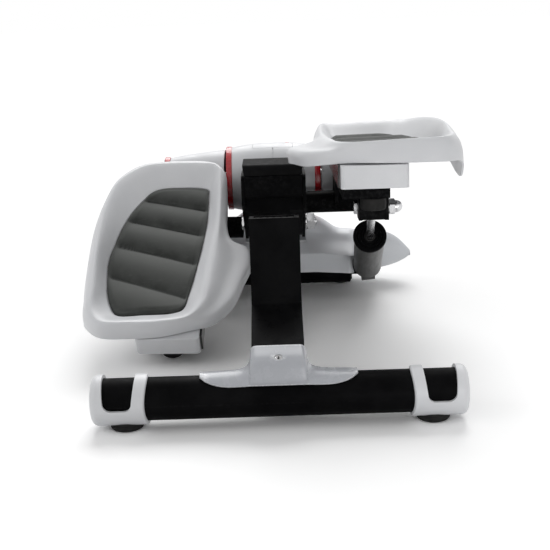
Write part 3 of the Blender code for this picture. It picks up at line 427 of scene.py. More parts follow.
@dataclass(frozen=True)
class Rubber(Finish):
    """Matt black rubber with a pitted skin, a little dusty on its edges."""

    slot: Slot = Slot.RUBBER
    colour: Colour = (0.011, 0.011, 0.011, 1)
    shade: Colour = (0.022, 0.0215, 0.021, 1)
    cloud: Patch = Patch(Pattern(70, 5, 0.65), 0.35)
    gloss: Patch = Patch(Pattern(260, 3), start=0.68, stop=0.86)
    relief: tuple[Relief, ...] = (Relief(Pattern(950, cells=True), 0.12, 0.35),)
    marks_and_shade: tuple[Wear, ...] = (Wear((0.06, 0.058, 0.055, 1), 0.35, (0.51, 0.62)),)
    sheen: float = 0.15


@dataclass(frozen=True)
class MatRubber(Finish):
    """The mat's grey rubber: mottled, scuffed and fine-grained, with painted light and shade."""

    slot: Slot = Slot.MAT
    # The painted shade, on slopes that face away from the toe.
    colour: Colour = (0.036, 0.038, 0.036, 1)
    shade: Colour = (0.105, 0.109, 0.104, 1)
    cloud: Patch = Patch(Pattern(38, 5, 0.62, (1, 0.55, 1)), 0.32, stop=0.4)
    gloss: Patch = Patch(Pattern(180, 4, 0.6), start=0.4, stop=0.58)
    relief: tuple[Relief, ...] = (
        Relief(Pattern(150, 3), 0.25, 0.2),
        Relief(Pattern(1100, 2, 0.6), 0.12, 0.3),
    )
    marks_and_shade: tuple[Wear, ...] = (
        Wear(
            (0.115, 0.12, 0.115, 1),
            Patch(Pattern(120, 5, 0.7, (0.4, 1.6, 1)), 0.56, 0.78, 0, 0.4),
        ),
        # Painted shade: the mat's valleys, where the mesh is hollow, are darkened.
        Wear((0.026, 0.027, 0.026, 1), edges=(0.495, 0.46)),
    )
    sheen: float = 0.03
    # The painted light, on slopes that face the toe.
    lit: Colour = (0.150, 0.155, 0.149, 1)
    toe: Spot = (0.0, 1.0, 0.0)

    def ground(self, bench: NodeBench) -> Socket:
        """Paints light on the mat: slopes that face the toe are painted lit, the others deep.

        Args:
            bench: The material's tree.

        Returns:
            The colour with its painted light and shade.
        """
        normal = bench.add("TexCoord", {}).outputs["Normal"]
        painted_light = bench.add("VectorMath", {0: normal, 1: self.toe}, operation="DOT_PRODUCT")
        return bench.blend(bench.spread(painted_light.outputs["Value"], -0.3, 0.3), self.colour, self.lit)


@dataclass(frozen=True)
class GlossRed(Finish):
    """Glossy, slightly uneven red plastic with a thin clear coat."""

    slot: Slot = Slot.RED
    colour: Colour = (0.58, 0.014, 0.024, 1)
    shade: Colour = (0.44, 0.008, 0.014, 1)
    cloud: Patch = Patch(Pattern(90, 3, 0.6))
    gloss: Patch = Patch(Pattern(200, 3), start=0.2, stop=0.32)
    relief: tuple[Relief, ...] = (Relief(Pattern(600), 0.04, 0.12),)
    coat: float = 0.25
    coat_rough: float = 0.12


@dataclass(frozen=True)
class CylinderGrey(Finish):
    """Satin dark grey enamel on the barrels, with faint drawn lines and small scuffs."""

    slot: Slot = Slot.GREY
    colour: Colour = (0.062, 0.063, 0.062, 1)
    shade: Colour = (0.082, 0.083, 0.082, 1)
    cloud: Patch = Patch(Pattern(55, 4, 0.6), 0.32)
    gloss: Patch = Patch(Pattern(240, 3, 0.6, (1, 0.1, 0.1)), start=0.33, stop=0.47)
    relief: tuple[Relief, ...] = (Relief(Pattern(500), 0.06, 0.14),)
    marks_and_shade: tuple[Wear, ...] = (
        Wear((0.2, 0.2, 0.205, 1), Patch(Pattern(300, 5, 0.75), 0.62, 0.8, 0, 0.5)),
    )
    metal: float = 0.35


@dataclass(frozen=True)
class Chrome(Finish):
    """Bright plated steel with fine polishing marks and dull spots."""

    slot: Slot = Slot.CHROME
    colour: Colour = (0.66, 0.66, 0.67, 1)
    shade: Colour = (0.42, 0.42, 0.43, 1)
    cloud: Patch = Patch(Pattern(420, 5, 0.7), 0.55, 0.8, 0, 0.7)
    gloss: Patch = Patch(Pattern(500, 4, 0.6), 0.3, 0.75, 0, 0.16)
    relief: tuple[Relief, ...] = (Relief(Pattern(1800), 0.02, 0.2),)
    rough: float = 0.14
    metal: float = 1.0


@dataclass(frozen=True)
class TurnedSteel(Finish):
    """Bare turned steel with stains, and lathe rings across its axis."""

    slot: Slot = Slot.STEEL
    colour: Colour = (0.48, 0.48, 0.49, 1)
    shade: Colour = (0.33, 0.32, 0.31, 1)
    cloud: Patch = Patch(Pattern(110, 5, 0.65), 0.4, 0.75, 0, 0.8)
    gloss: Patch = Patch(Pattern(700, 3, 0.6, (8, 0.4, 0.4)), start=0.2, stop=0.38)
    relief: tuple[Relief, ...] = (Relief(Pattern(700, 3, 0.6, (8, 0.4, 0.4)), 0.04, 0.3),)
    metal: float = 1.0


@dataclass(frozen=True)
class DarkLens(Finish):
    """Smoked display window with faint finger marks."""

    slot: Slot = Slot.LENS
    colour: Colour = (0.02, 0.024, 0.026, 1)
    shade: Colour = (0.035, 0.042, 0.042, 1)
    cloud: Patch = Patch(Pattern(120, 3), 0.35)
    gloss: Patch = Patch(Pattern(90, 4, 0.6), 0.4, 0.75, 0.06, 0.2)
    relief: tuple[Relief, ...] = (Relief(Pattern(40, 1), 0.05, 0.1),)
    coat: float = 0.5


WHITE = MouldedWhite()
BLACK = PowderBlack()
RUBBER = Rubber()
CHROME = Chrome()

# ---------------------------------------------------------------- shapes


def rounded(points: Sequence[Flat], radius: float, steps: int = 6) -> list[Flat]:
    """Replaces each corner of an outline by an arc.

    Args:
        points: (a, b) corners, or (a, b, radius of this corner).
        radius: The radius where a corner names none.
        steps: Spans in each arc.

    Returns:
        The rounded outline.
    """
    out: list[Flat] = []
    for index, point in enumerate(points):
        here, before = Vector(point[:2]), Vector(points[index - 1][:2])
        after = Vector(points[(index + 1) % len(points)][:2])
        size = point[2] if len(point) > 2 else radius
        one, two = (before - here).normalized(), (after - here).normalized()
        half = one.angle(two) / 2
        if size <= 0 or half > radians(87):
            out.append(tuple(here))
            continue
        reach = min(size / tan(half), 0.49 * min((before - here).length, (after - here).length))
        centre = here + (one + two).normalized() * (reach * tan(half) / sin(half))
        start, stop = here + one * reach - centre, here + two * reach - centre
        turn, (x, y) = start.angle_signed(stop), start
        for step in range(steps + 1):
            angle = -turn * step / steps
            c, s = cos(angle), sin(angle)
            spot = (centre.x + x * c - y * s, centre.y + x * s + y * c)
            out.append(spot)
    return out


def prism(points: Sequence[Flat], low: float, high: float, axis: Axis = Axis.X) -> BMesh:
    """Pushes an outline along an axis.

    Args:
        points: (Y, Z) points along X, (X, Z) along Y or (X, Y) along Z.
        low: Where the push starts.
        high: Where it ends.
        axis: The direction.

    Returns:
        The closed mesh.
    """
    return loft([[Vector(axis.spot(p[0], p[1], at)) for p in points] for at in (low, high)])


def block(low: Spot, high: Spot, place: Matrix | None = None) -> BMesh:
    """A box between two corners.

    Args:
        low: One corner.
        high: The opposite one.
        place: Where the box goes.

    Returns:
        The mesh.
    """
    outline = [(low[0], low[1]), (high[0], low[1]), (high[0], high[1]), (low[0], high[1])]
    bm = prism(outline, low[2], high[2], Axis.Z)
    bmesh.ops.transform(bm, matrix=place or Matrix(), verts=bm.verts)
    return bm


def toward(start: Point, stop: Point) -> Matrix:
    """The matrix that puts Z from start towards stop."""
    turn = (Vector(stop) - Vector(start)).to_track_quat("Z", "X").to_matrix().to_4x4()
    return Matrix.Translation(Vector(start)) @ turn


def lying(at: Flat) -> Matrix:
    """Lays Z along X, at a (Y, Z)."""
    return Matrix.Translation((0, *at)) @ Matrix.Rotation(pi / 2, 4, "Y")


def turned(
    profile: Sequence[Flat], place: Matrix | None = None, steps: int = 96, ring: bool = False
) -> BMesh:
    """Turns a profile round Z.

    Args:
        profile: (radius, z) points.
        place: Where the axis goes.
        steps: Faces round it.
        ring: True if the profile closes on itself.

    Returns:
        The mesh.
    """
    bm = bmesh.new()
    rows = []
    for r, z in profile:
        angles = [2 * pi * k / steps for k in range(steps)] if r else [0.0]
        rows.append([bm.verts.new((r * cos(angle), r * sin(angle), z)) for angle in angles])
    for one, two in zip(rows, rows[1:] + (rows[:1] if ring else [])):
        for k in range(steps):
            j = k + 1
            corners = [one[k % len(one)], one[j % len(one)], two[j % len(two)], two[k % len(two)]]
            corners = list(dict.fromkeys(corners))
            if len(corners) > 2:
                bm.faces.new(corners)
    bmesh.ops.transform(bm, matrix=place or Matrix(), verts=bm.verts)
    return bm


def bar(start: Point, stop: Point, radius: float, steps: int = 64, bore: float = 0.0) -> BMesh:
    """A round bar between two points, or a pipe if it has a bore.

    Args:
        start: The middle of one end.
        stop: The middle of the other.
        radius: Its radius.
        steps: Faces round it.
        bore: The bore's radius.

    Returns:
        The mesh.
    """
    length = (Vector(stop) - Vector(start)).length
    profile = [(bore, 0), (radius, 0), (radius, length), (bore, length)]
    return turned(profile, toward(start, stop), steps, ring=bore > 0)


def crossbar(
    low: float, high: float, at: Flat, radius: float, steps: int = 64, bore: float = 0.0
) -> BMesh:
    """A bar or pipe along X, at a (Y, Z)."""
    return bar((low, *at), (high, *at), radius, steps, bore)


def nut(start: Point, stop: Point, flats: float, turn: float = 0.0) -> BMesh:
    """A hexagon whose corners are turned off at both ends, as a nut's are.

    Args:
        start: The middle of one end.
        stop: The middle of the other.
        flats: Width across flats.
        turn: Its turn about its axis.

    Returns:
        The mesh.
    """
    reach, length = flats / sqrt(3), (Vector(stop) - Vector(start)).length
    angles = [k * pi / 3 + turn for k in range(6)]
    outline = [(reach * cos(angle), reach * sin(angle)) for angle in angles]
    bm = prism(outline, 0, length, Axis.Z)
    rims = [edge for edge in bm.edges if edge.verts[0].co.z == edge.verts[1].co.z]
    bmesh.ops.transform(bm, matrix=toward(start, stop), verts=bm.verts)
    bmesh.ops.subdivide_edges(bm, edges=rims, cuts=5, use_grid_fill=False)
    home = toward(start, stop).inverted()
    away = home.inverted()
    for vert in bm.verts:
        spot = home @ vert.co
        over = max(hypot(spot.x, spot.y) - flats / 2 * 0.985, 0) / (reach - flats / 2)
        spot.z += (0.9 if spot.z < length / 2 else -0.9) * over * flats / 17
        vert.co = away @ spot
    return bm


def loft(rings: Sequence[Sequence[Vector]]) -> BMesh:
    """Skins neighbouring rings of points and closes both ends.

    Args:
        rings: Rings of as many points each.

    Returns:
        The closed mesh.
    """
    bm = bmesh.new()
    rows = [[bm.verts.new(point) for point in ring] for ring in rings]
    for one, two in zip(rows, rows[1:]):
        for k in range(len(one)):
            j = (k + 1) % len(one)
            bm.faces.new((one[k], one[j], two[j], two[k]))
    bm.faces.new(rows[0][::-1])
    bm.faces.new(rows[-1])
    return bm


def slab(grid: Sequence[Sequence[Vector]], thick: float) -> BMesh:
    """A closed sheet of one thickness under an open grid of points.

    Args:
        grid: Rows of points.
        thick: Thickness; it goes against the grid's normals.

    Returns:
        The mesh.
    """
    rows, count = len(grid), len(grid[0])
    rings = []
    for i, row in enumerate(grid):
        under = []
        for k, point in enumerate(row):
            along = grid[min(i + 1, rows - 1)][k] - grid[max(i - 1, 0)][k]
            across = row[min(k + 1, count - 1)] - row[max(k - 1, 0)]
            under.append(point - along.cross(across).normalized() * thick)
        rings.append([*row, *under[::-1]])
    return loft(rings)


def between(one: Vector, two: Vector, start: float, stop: float, at: float) -> Vector:
    """The place at a time on the way from one point to another."""
    return one * ((stop - at) / (stop - start)) + two * ((at - start) / (stop - start))


def smooth(points: Sequence[Vector], fine: int, closed: bool = False) -> list[Vector]:
    """A centripetal curve through the points, with even flow where they are uneven.

    Args:
        points: The points.
        fine: Steps in each span.
        closed: True if the curve closes on itself.

    Returns:
        The curve's points.
    """
    if closed:
        chain = [points[-1], *points, *points[:2]]
    else:
        chain = [points[0] * 2 - points[1], *points, points[-1] * 2 - points[-2]]
    out = []
    for p0, p1, p2, p3 in zip(chain, chain[1:], chain[2:], chain[3:]):
        pairs = ((p0, p1), (p1, p2), (p2, p3))
        t1, span, last = (max((b - a).length, 1e-6) ** 0.5 for a, b in pairs)
        t2 = t1 + span
        t3 = t2 + last
        for step in range(fine):
            t = t1 + (t2 - t1) * step / fine
            a, b = between(p0, p1, 0, t1, t), between(p1, p2, t1, t2, t)
            c = between(p2, p3, t2, t3, t)
            out.append(between(between(a, b, 0, t2, t), between(b, c, t1, t3, t), t1, t2, t))
    return out if closed else [*out, points[-1].copy()]


def smooth_flat(knots: Sequence[Flat], fine: int) -> list[Flat]:
    """An open curve through flat points, in so many steps a span."""
    return [(p.x, p.y) for p in smooth([Vector((a, b, 0)) for a, b in knots], fine)]


def inward(ring: Sequence[Vector], distance: float, down: float = 0.0) -> list[Vector]:
    """Moves a ring inward in plan, and down.

    Args:
        ring: Its points.
        distance: How far it goes inward.
        down: How far it goes down.

    Returns:
        The new ring.
    """
    after = [*ring[1:], ring[0]]
    area = sum(p.x * q.y - q.x * p.y for p, q in zip(ring, after))
    side = 1.0 if area > 0 else -1.0
    out = []
    for index, point in enumerate(ring):
        run = after[index] - ring[index - 1]
        aside = Vector((-run.y, run.x, 0)).normalized() * side * distance
        out.append(point + aside - Vector((0, 0, down)))
    return out


def stand(name: str, data: bpy.types.ID) -> bpy.types.Object:
    """Links a new object of some data to the scene.

    Args:
        name: Its name.
        data: Its mesh, lamp or camera.

    Returns:
        The object.
    """
    made = bpy.data.objects.new(name, data)
    bpy.context.scene.collection.objects.link(made)
    return made


def as_mesh(name: str, form: BMesh) -> bpy.types.Mesh:
    """Turns a form into a mesh of that name, and frees it.

    Args:
        name: The mesh's name.
        form: The form.

    Returns:
        The mesh.
    """
    mesh = bpy.data.meshes.new(name)
    form.to_mesh(mesh)
    form.free()
    return mesh


class Workbench:
    """Makes objects of the forms, dresses them and hands them to the frame's bodies."""

    def __init__(self) -> None:
        """Finds the frame's shift from the machine's own axes."""
        low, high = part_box("rear_tube")
        self.shift = (Vector(low) + Vector(high)) / 2 / MM - Vector((0, 0, TUBE_Z))
        self.count = 0

    def blank(self, name: str, form: BMesh, place: Matrix) -> bpy.types.Object:
        """Makes a bare object in the frame's metres.

        Args:
            name: The object's name.
            form: Its mesh; it is used up.
            place: Where it goes in the machine's axes.

        Returns:
            The object.
        """
        whole = Matrix.Scale(MM, 4) @ Matrix.Translation(self.shift) @ place
        bmesh.ops.transform(form, matrix=whole, verts=form.verts)
        bmesh.ops.recalc_face_normals(form, faces=form.faces)
        return stand(name, as_mesh(name, form))

    @staticmethod
    def bake(obj: bpy.types.Object) -> None:
        """Puts the result of an object's modifiers into its mesh.

        Args:
            obj: The object.
        """
        bpy.context.view_layer.update()
        graph = bpy.context.evaluated_depsgraph_get()
        mesh = bpy.data.meshes.new_from_object(obj.evaluated_get(graph), depsgraph=graph)
        old = obj.data
        obj.modifiers.clear()
        obj.data = mesh
        mesh.name = obj.name
        bpy.data.meshes.remove(old)

    def make(
        self,
        name: str,
        form: BMesh,
        finish: Finish,
        body: str,
        stands_for: Sequence[str] = (),
        place: Matrix | None = None,
        welds: Iterable[BMesh] = (),
        cuts: Iterable[BMesh] = (),
        edge: float = 0.0,
        rounds: int = 3,
        edge_from: float = 35.0,
        sharp: float = 38.0,
    ) -> None:
        """Makes one finished piece.

        Args:
            name: The piece's name.
            form: Its mesh.
            finish: Its finish.
            body: The body that it rides on.
            stands_for: The frame's nodes that it replaces.
            place: Where it goes in the machine's axes.
            welds: Meshes joined to it, in the same place.
            cuts: Meshes cut from it.
            edge: Width of its eased edges.
            rounds: Steps over an eased edge.
            edge_from: The least angle that is eased, in degrees.
            sharp: The least angle that shades as an edge, in degrees.
        """
        place = place or Matrix()
        piece = self.blank(name, form, place)
        helpers = []
        for kind, others in (("UNION", welds), ("DIFFERENCE", cuts)):
            for other in others:
                helpers.append(self.blank(f"{name}_helper", other, place))
                modifier = piece.modifiers.new("join", "BOOLEAN")
                modifier.operation, modifier.solver, modifier.object = kind, "EXACT", helpers[-1]
        if edge:
            modifier = piece.modifiers.new("edges", "BEVEL")
            modifier.width, modifier.segments = edge * MM, rounds
            modifier.limit_method, modifier.angle_limit = "ANGLE", radians(edge_from)
        self.bake(piece)
        for helper in helpers:
            mesh = helper.data
            bpy.data.objects.remove(helper, do_unlink=True)
            bpy.data.meshes.remove(mesh)
        piece.data.shade_smooth()
        piece.data.set_sharp_from_angle(angle=radians(sharp))
        piece.modifiers.new("shading", "WEIGHTED_NORMAL").keep_sharp = True
        self.bake(piece)
        piece.data.materials.append(finish.material())
        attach(piece, body)
        if stands_for:
            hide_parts(*stands_for)
        self.count += 1
        LOG.info("%s rides on %s in %s", name, body, type(finish).__name__)


@dataclass
class Part(ABC):
    """A sub-assembly, which holds its sizes and builds its pieces on a workbench."""

    bench: Workbench

    @abstractmethod
    def build(self) -> None:
        """Builds every piece of the sub-assembly."""

    def make(self, name: str, form: BMesh, finish: Finish, *nodes: str, **how: object) -> None:
        """Makes one piece, on the frame's own body if no other is named.

        Args:
            name: The piece's name.
            form: Its mesh.
            finish: Its finish.
            *nodes: The frame's nodes that it replaces.
            **how: What else the workbench takes.
        """
        self.bench.make(name, form, finish, **{"body": "frame", "stands_for": nodes, **how})


# ---------------------------------------------------------------- floor parts


@dataclass
class RearBar(Part):
    """The rear floor tube with its white end covers and rubber feet."""

    radius: float = 23.0
    half: float = 189.0
    cap_radius: float = 27.0
    cap_in: float = 138.0
    cap_out: float = 198.4
    cap_round: float = 7.5
    window: Sequence[Flat] = (
        *((150.0, 66.0, 0.0), (186.6, 66.0, 0.0)),
        *((183.8, 27.6, 9.0), (155.4, 27.6, 8.0)),
    )
    bow: float = 3.6
    foot_radius: float = 18.0
    foot_x: float = 163.0

    def build(self) -> None:
        """Builds the tube, both covers and both feet."""
        form = crossbar(-self.half, self.half, (0, TUBE_Z), self.radius, 128, self.radius - 2)
        self.make("rear_bar_tube", form, BLACK, "rear_tube", edge=0.5)
        for side in Side:
            self.cover(side)
            self.foot(side)

    def cover(self, side: Side) -> None:
        """Builds one white end cover: a cup whose window is open over the top.

        Args:
            side: Its side.
        """
        x, r, big, long = side.value, self.cap_radius, self.cap_round, self.cap_out - self.cap_in
        bore, deep = self.radius + 0.3, long - 8
        angles = [pi / 2 * step / 12 for step in range(13)]
        profile = [(0, long)]
        profile += [(r - big + big * sin(a), long - big + big * cos(a)) for a in angles]
        profile += [(r, long * k / 8) for k in (6, 5, 4, 3, 2, 1)]
        profile += [(r, 1.6), (r - 0.5, 0.5), (r - 1.6, 0)]
        profile += [(bore, 0), (bore, deep), (0, deep)]
        place = toward((x * self.cap_in, 0, TUBE_Z), (x * self.cap_out, 0, TUBE_Z))
        form = turned(profile, place, 128)
        for vert in form.verts:
            # The inner rim bows outward at mid height, on the near and the far side.
            into, flank = (self.cap_out - abs(vert.co.x)) / long, min(abs(vert.co.y) / r, 1) ** 2
            vert.co.x += x * self.bow * max(into, 0) ** 2 * flank
        corners = [(x * across, high, ease) for across, high, ease in self.window]
        window = prism(rounded(corners, 7, 10), -40, 40, Axis.Y)
        node = f"rear_cap_{side.word}"
        self.make(f"end_cover_{side.word}", form, WHITE, node, cuts=[window], edge=0.7)

    def foot(self, side: Side) -> None:
        """Builds one rubber foot, moulded to the cover above it.

        Args:
            side: Its side.
        """
        x, r = side.value * self.foot_x, self.foot_radius
        profile = [(0, 0), (r - 7, 0), (r - 6, 0.9), (r - 4.5, 0.9)]
        profile += [(r - 3 + 3 * sin(a * pi / 12), 3 - 3 * cos(a * pi / 12)) for a in range(7)]
        profile += [(r, 5.2), (r - 0.8, 6.2), (r - 0.8, 9.5), (0, 9.5)]
        form = turned(profile, Matrix.Translation((x, 0, 0)), 72)
        cradle = crossbar(x - 30, x + 30, (0, TUBE_Z), self.cap_radius + 0.2, 128)
        self.make(f"floor_foot_{side.word}", form, RUBBER, f"rear_foot_{side.word}", cuts=[cradle])


@dataclass
class Post(Part):
    """The bent rear post and the dark ribbed plug in its top."""

    half: float = 28.0
    edge: float = 7.0
    outline: Sequence[Flat] = (
        *((-13, 74.2, 5), (88.3, 105.8, 12), (104, 198, 2)),
        *((143.4, 191.2, 2), (122.8, 72.6, 20), (-13, 30.2, 2)),
    )
    mouth: Spot = (0, 123.7, 194.6)
    lean: float = radians(-9.86)
    grooves: Sequence[float] = (-15.0, -7.5, 0.0, 7.5, 15.0)

    def build(self) -> None:
        """Builds the post with its open top, and the plug."""
        place = Matrix.Translation(self.mouth) @ Matrix.Rotation(self.lean, 4, "X")
        form = prism(rounded(self.outline, 4, 12), -self.half, self.half)
        mouth = block((-23, -15, -10), (23, 15, 10), place)
        cuts = [crossbar(-60, 60, (0, TUBE_Z), 23.2, 128), mouth]
        coat = PowderBlack(rough=0.3, sheen=0.02)
        self.make("rear_post", form, coat, "spine", cuts=cuts, edge=self.edge, rounds=6)
        form = block((-22.7, -14.7, -8.5), (22.7, 14.7, -1.4))
        cuts = [block((x - 1.2, -13, -2.6), (x + 1.2, 13, 9)) for x in self.grooves]
        matt = SatinBlackPlastic()
        self.make("post_top_plug", form, matt, "post_plug", place=place, cuts=cuts, edge=1.0)


@dataclass
class FootCover(Part):
    """White cover at the post's foot: wings on the tube and a neck up the post.

    Attributes:
        radius: Its outer radius on the tube.
        thick: Its wall.
        neck: The neck's (Y, Z) knots.
        flare: Distance from the middle and share of the wing, closer where the neck flares.
        screw: Where the neck's screw sits.
        slope: The neck's slope there.
    """

    radius: float = 26.2
    thick: float = 2.0
    neck: Sequence[Flat] = (
        *((-20.6, 54.5), (-19.4, 62), (-18.0, 68.5), (-15.0, 73.4)),
        *((-10.6, 76.6), (-4.5, 79.2), (2.0, 81.4), (8.6, 83.6)),
    )
    flare: Sequence[Flat] = (
        *((0, 0.0), (22.5, 0.0), (25.6, 0.02), (27.7, 0.07), (29.0, 0.16), (29.7, 0.28)),
        (30.1, 0.42),
        *((30.6, 0.56), (31.5, 0.69), (33.2, 0.80), (36.0, 0.89), (40.5, 0.955), (47.0, 0.99)),
        *((56.0, 1.0), (83.0, 1.0)),
    )
    screw: Spot = (0.4, -9.6, 77.4)
    slope: float = radians(20)

    def wing(self, x: float, count: int) -> list[Vector]:
        """A wing's section, as an arc over the tube that narrows to the wing's tip.

        Args:
            x: Its distance from the middle.
            count: Points in it.

        Returns:
            Its points, from the near edge to the far one.
        """
        reach = max(x - 44.0, 0) / 40.0
        near = 46.5 * sqrt(max(1 - reach**2.3, 0)) + 2.0 * reach
        far, swell = 24.0 - 10.0 * reach**3, 1.4 * (1 - reach)
        out = []
        for k in range(count):
            share = k / (count - 1)
            angle, r = radians(-near + (near + far) * share), self.radius + swell * share
            out.append(Vector((0, r * sin(angle), TUBE_Z + r * cos(angle))))
        return out

    def build(self) -> None:
        """Builds the cover and the screw in its neck."""
        lip, r, even = radians(46.5), self.radius, 30
        knots = [(-r * sin(lip), TUBE_Z + r * cos(lip)), *self.neck]
        neck = [Vector((0, y, z)) for y, z in smooth_flat(knots, 6)]
        half = smooth_flat([(x, share * even) for x, share in self.flare], 5)
        grid = []
        for sign, columns in ((-1, half[::-1]), (1, half[1:])):
            for x, height in columns:
                share = min(max(height / even, 0), 1)
                row = [a.lerp(b, share) for a, b in zip(neck, self.wing(x, len(neck)))]
                grid.append([Vector((sign * x, p.y, p.z)) for p in row])
        place = Matrix.Translation(self.screw) @ Matrix.Rotation(self.slope, 4, "X")
        hole = turned([(0, -3), (4.2, -3), (4.2, 6), (0, 6)], place, 40)
        # A grey copy of the white: partly the cover's own greyer plastic, partly painted shade from
        # the post and the left pedal above it.
        grey = MouldedWhite(
            colour=(0.46, 0.472, 0.502, 1), shade=(0.40, 0.412, 0.44, 1), rough=0.24
        )
        form = slab(grid, self.thick)
        self.make("post_foot_cover", form, grey, "foot_cover", cuts=[hole], edge=0.6, sharp=50)
        profile = [(0, -2.2), (1.2, -1.9), (2.2, -1.2), (3.4, -0.9)]
        profile += [(4.0, -1.5), (4.0, -2.9), (0, -2.9)]
        cross = [block((-a, -b, -2.4), (a, b, 0)) for a, b in ((0.5, 2.4), (2.4, 0.5))]
        form, steel = turned(profile, None, 40), TurnedSteel()
        self.make("foot_cover_screw", form, steel, place=place, cuts=cross)


@dataclass
class FrontBase(Part):
    """Front floor parts: pivot bar with its studs, stabiliser tube, plate, column and feet."""

    radius: float = 19.0
    bar_half: float = 106.4
    stud_half: float = 143.0
    stabiliser: Flat = (505.0, 34.5)
    stab_half: float = 115.0
    plate: Sequence[Flat] = ((-60, 446), (60, 446), (60, 508), (-60, 508))
    column: Sequence[Flat] = ((-30, 462.2), (30, 462.2), (30, 500), (-30, 500))
    foot_radius: float = 18.0

    def build(self) -> None:
        """Builds every floor part at the front."""
        r, end = self.radius, self.bar_half
        half = [(0, self.stud_half), (8, self.stud_half), (8, end), (r - 1.5, end)]
        half += [(r - 0.4, end - 0.4), (r, end - 1.5)]
        form = turned(half + [(a, -x) for a, x in reversed(half)], lying(PIVOT_BAR), 96)
        self.make("pivot_bar", form, BLACK, "front_bar")
        for side in Side:
            x = side.value
            washer = crossbar(x * 142.6, x * 144, PIVOT_BAR, 9.7, 48, 7.6)
            self.make(f"stud_washer_{side.word}", washer, CHROME, edge=0.2)
            head = nut((x * 144.0, *PIVOT_BAR), (x * 147, *PIVOT_BAR), 17)
            self.make(f"stud_nut_{side.word}", head, CHROME, edge=0.25)
            self.foot(side)
        form = crossbar(-self.stab_half, self.stab_half, self.stabiliser, r, 96, r - 3)
        self.make("stabiliser_tube", form, BLACK, "front_stabiliser", edge=0.5)
        form = prism(rounded(self.plate, 6, 6), 53.8, 57.0, Axis.Z)
        self.make("floor_plate", form, BLACK, "base_plate", edge=0.6)
        form = prism(rounded(self.column, 4, 6), 57.3, 147, Axis.Z)
        self.make("pod_column", form, BLACK, "front_column", edge=1.0)

    def foot(self, side: Side) -> None:
        """Builds one front foot, a ribbed rubber pad that hugs the tube.

        Args:
            side: Its side.
        """
        x, r = side.value * (self.stab_half - 20), self.foot_radius
        profile = [(0, 0), (r - 5, 0), (r - 1.8, 1.2), (r, 3.4)]
        for z in (5.6, 9.6, 13.6):
            profile += [(r, z), (r - 1.0, z + 0.6), (r - 1.0, z + 1.8), (r, z + 2.4)]
        profile += [(r, 23), (r - 1.2, 24), (0, 24)]
        form = turned(profile, Matrix.Translation((x, self.stabiliser[0], 0)), 72)
        cradle = crossbar(x - 30, x + 30, self.stabiliser, self.radius + 0.2, 96)
        self.make(f"front_pad_{side.word}", form, RUBBER, f"front_foot_{side.word}", cuts=[cradle])


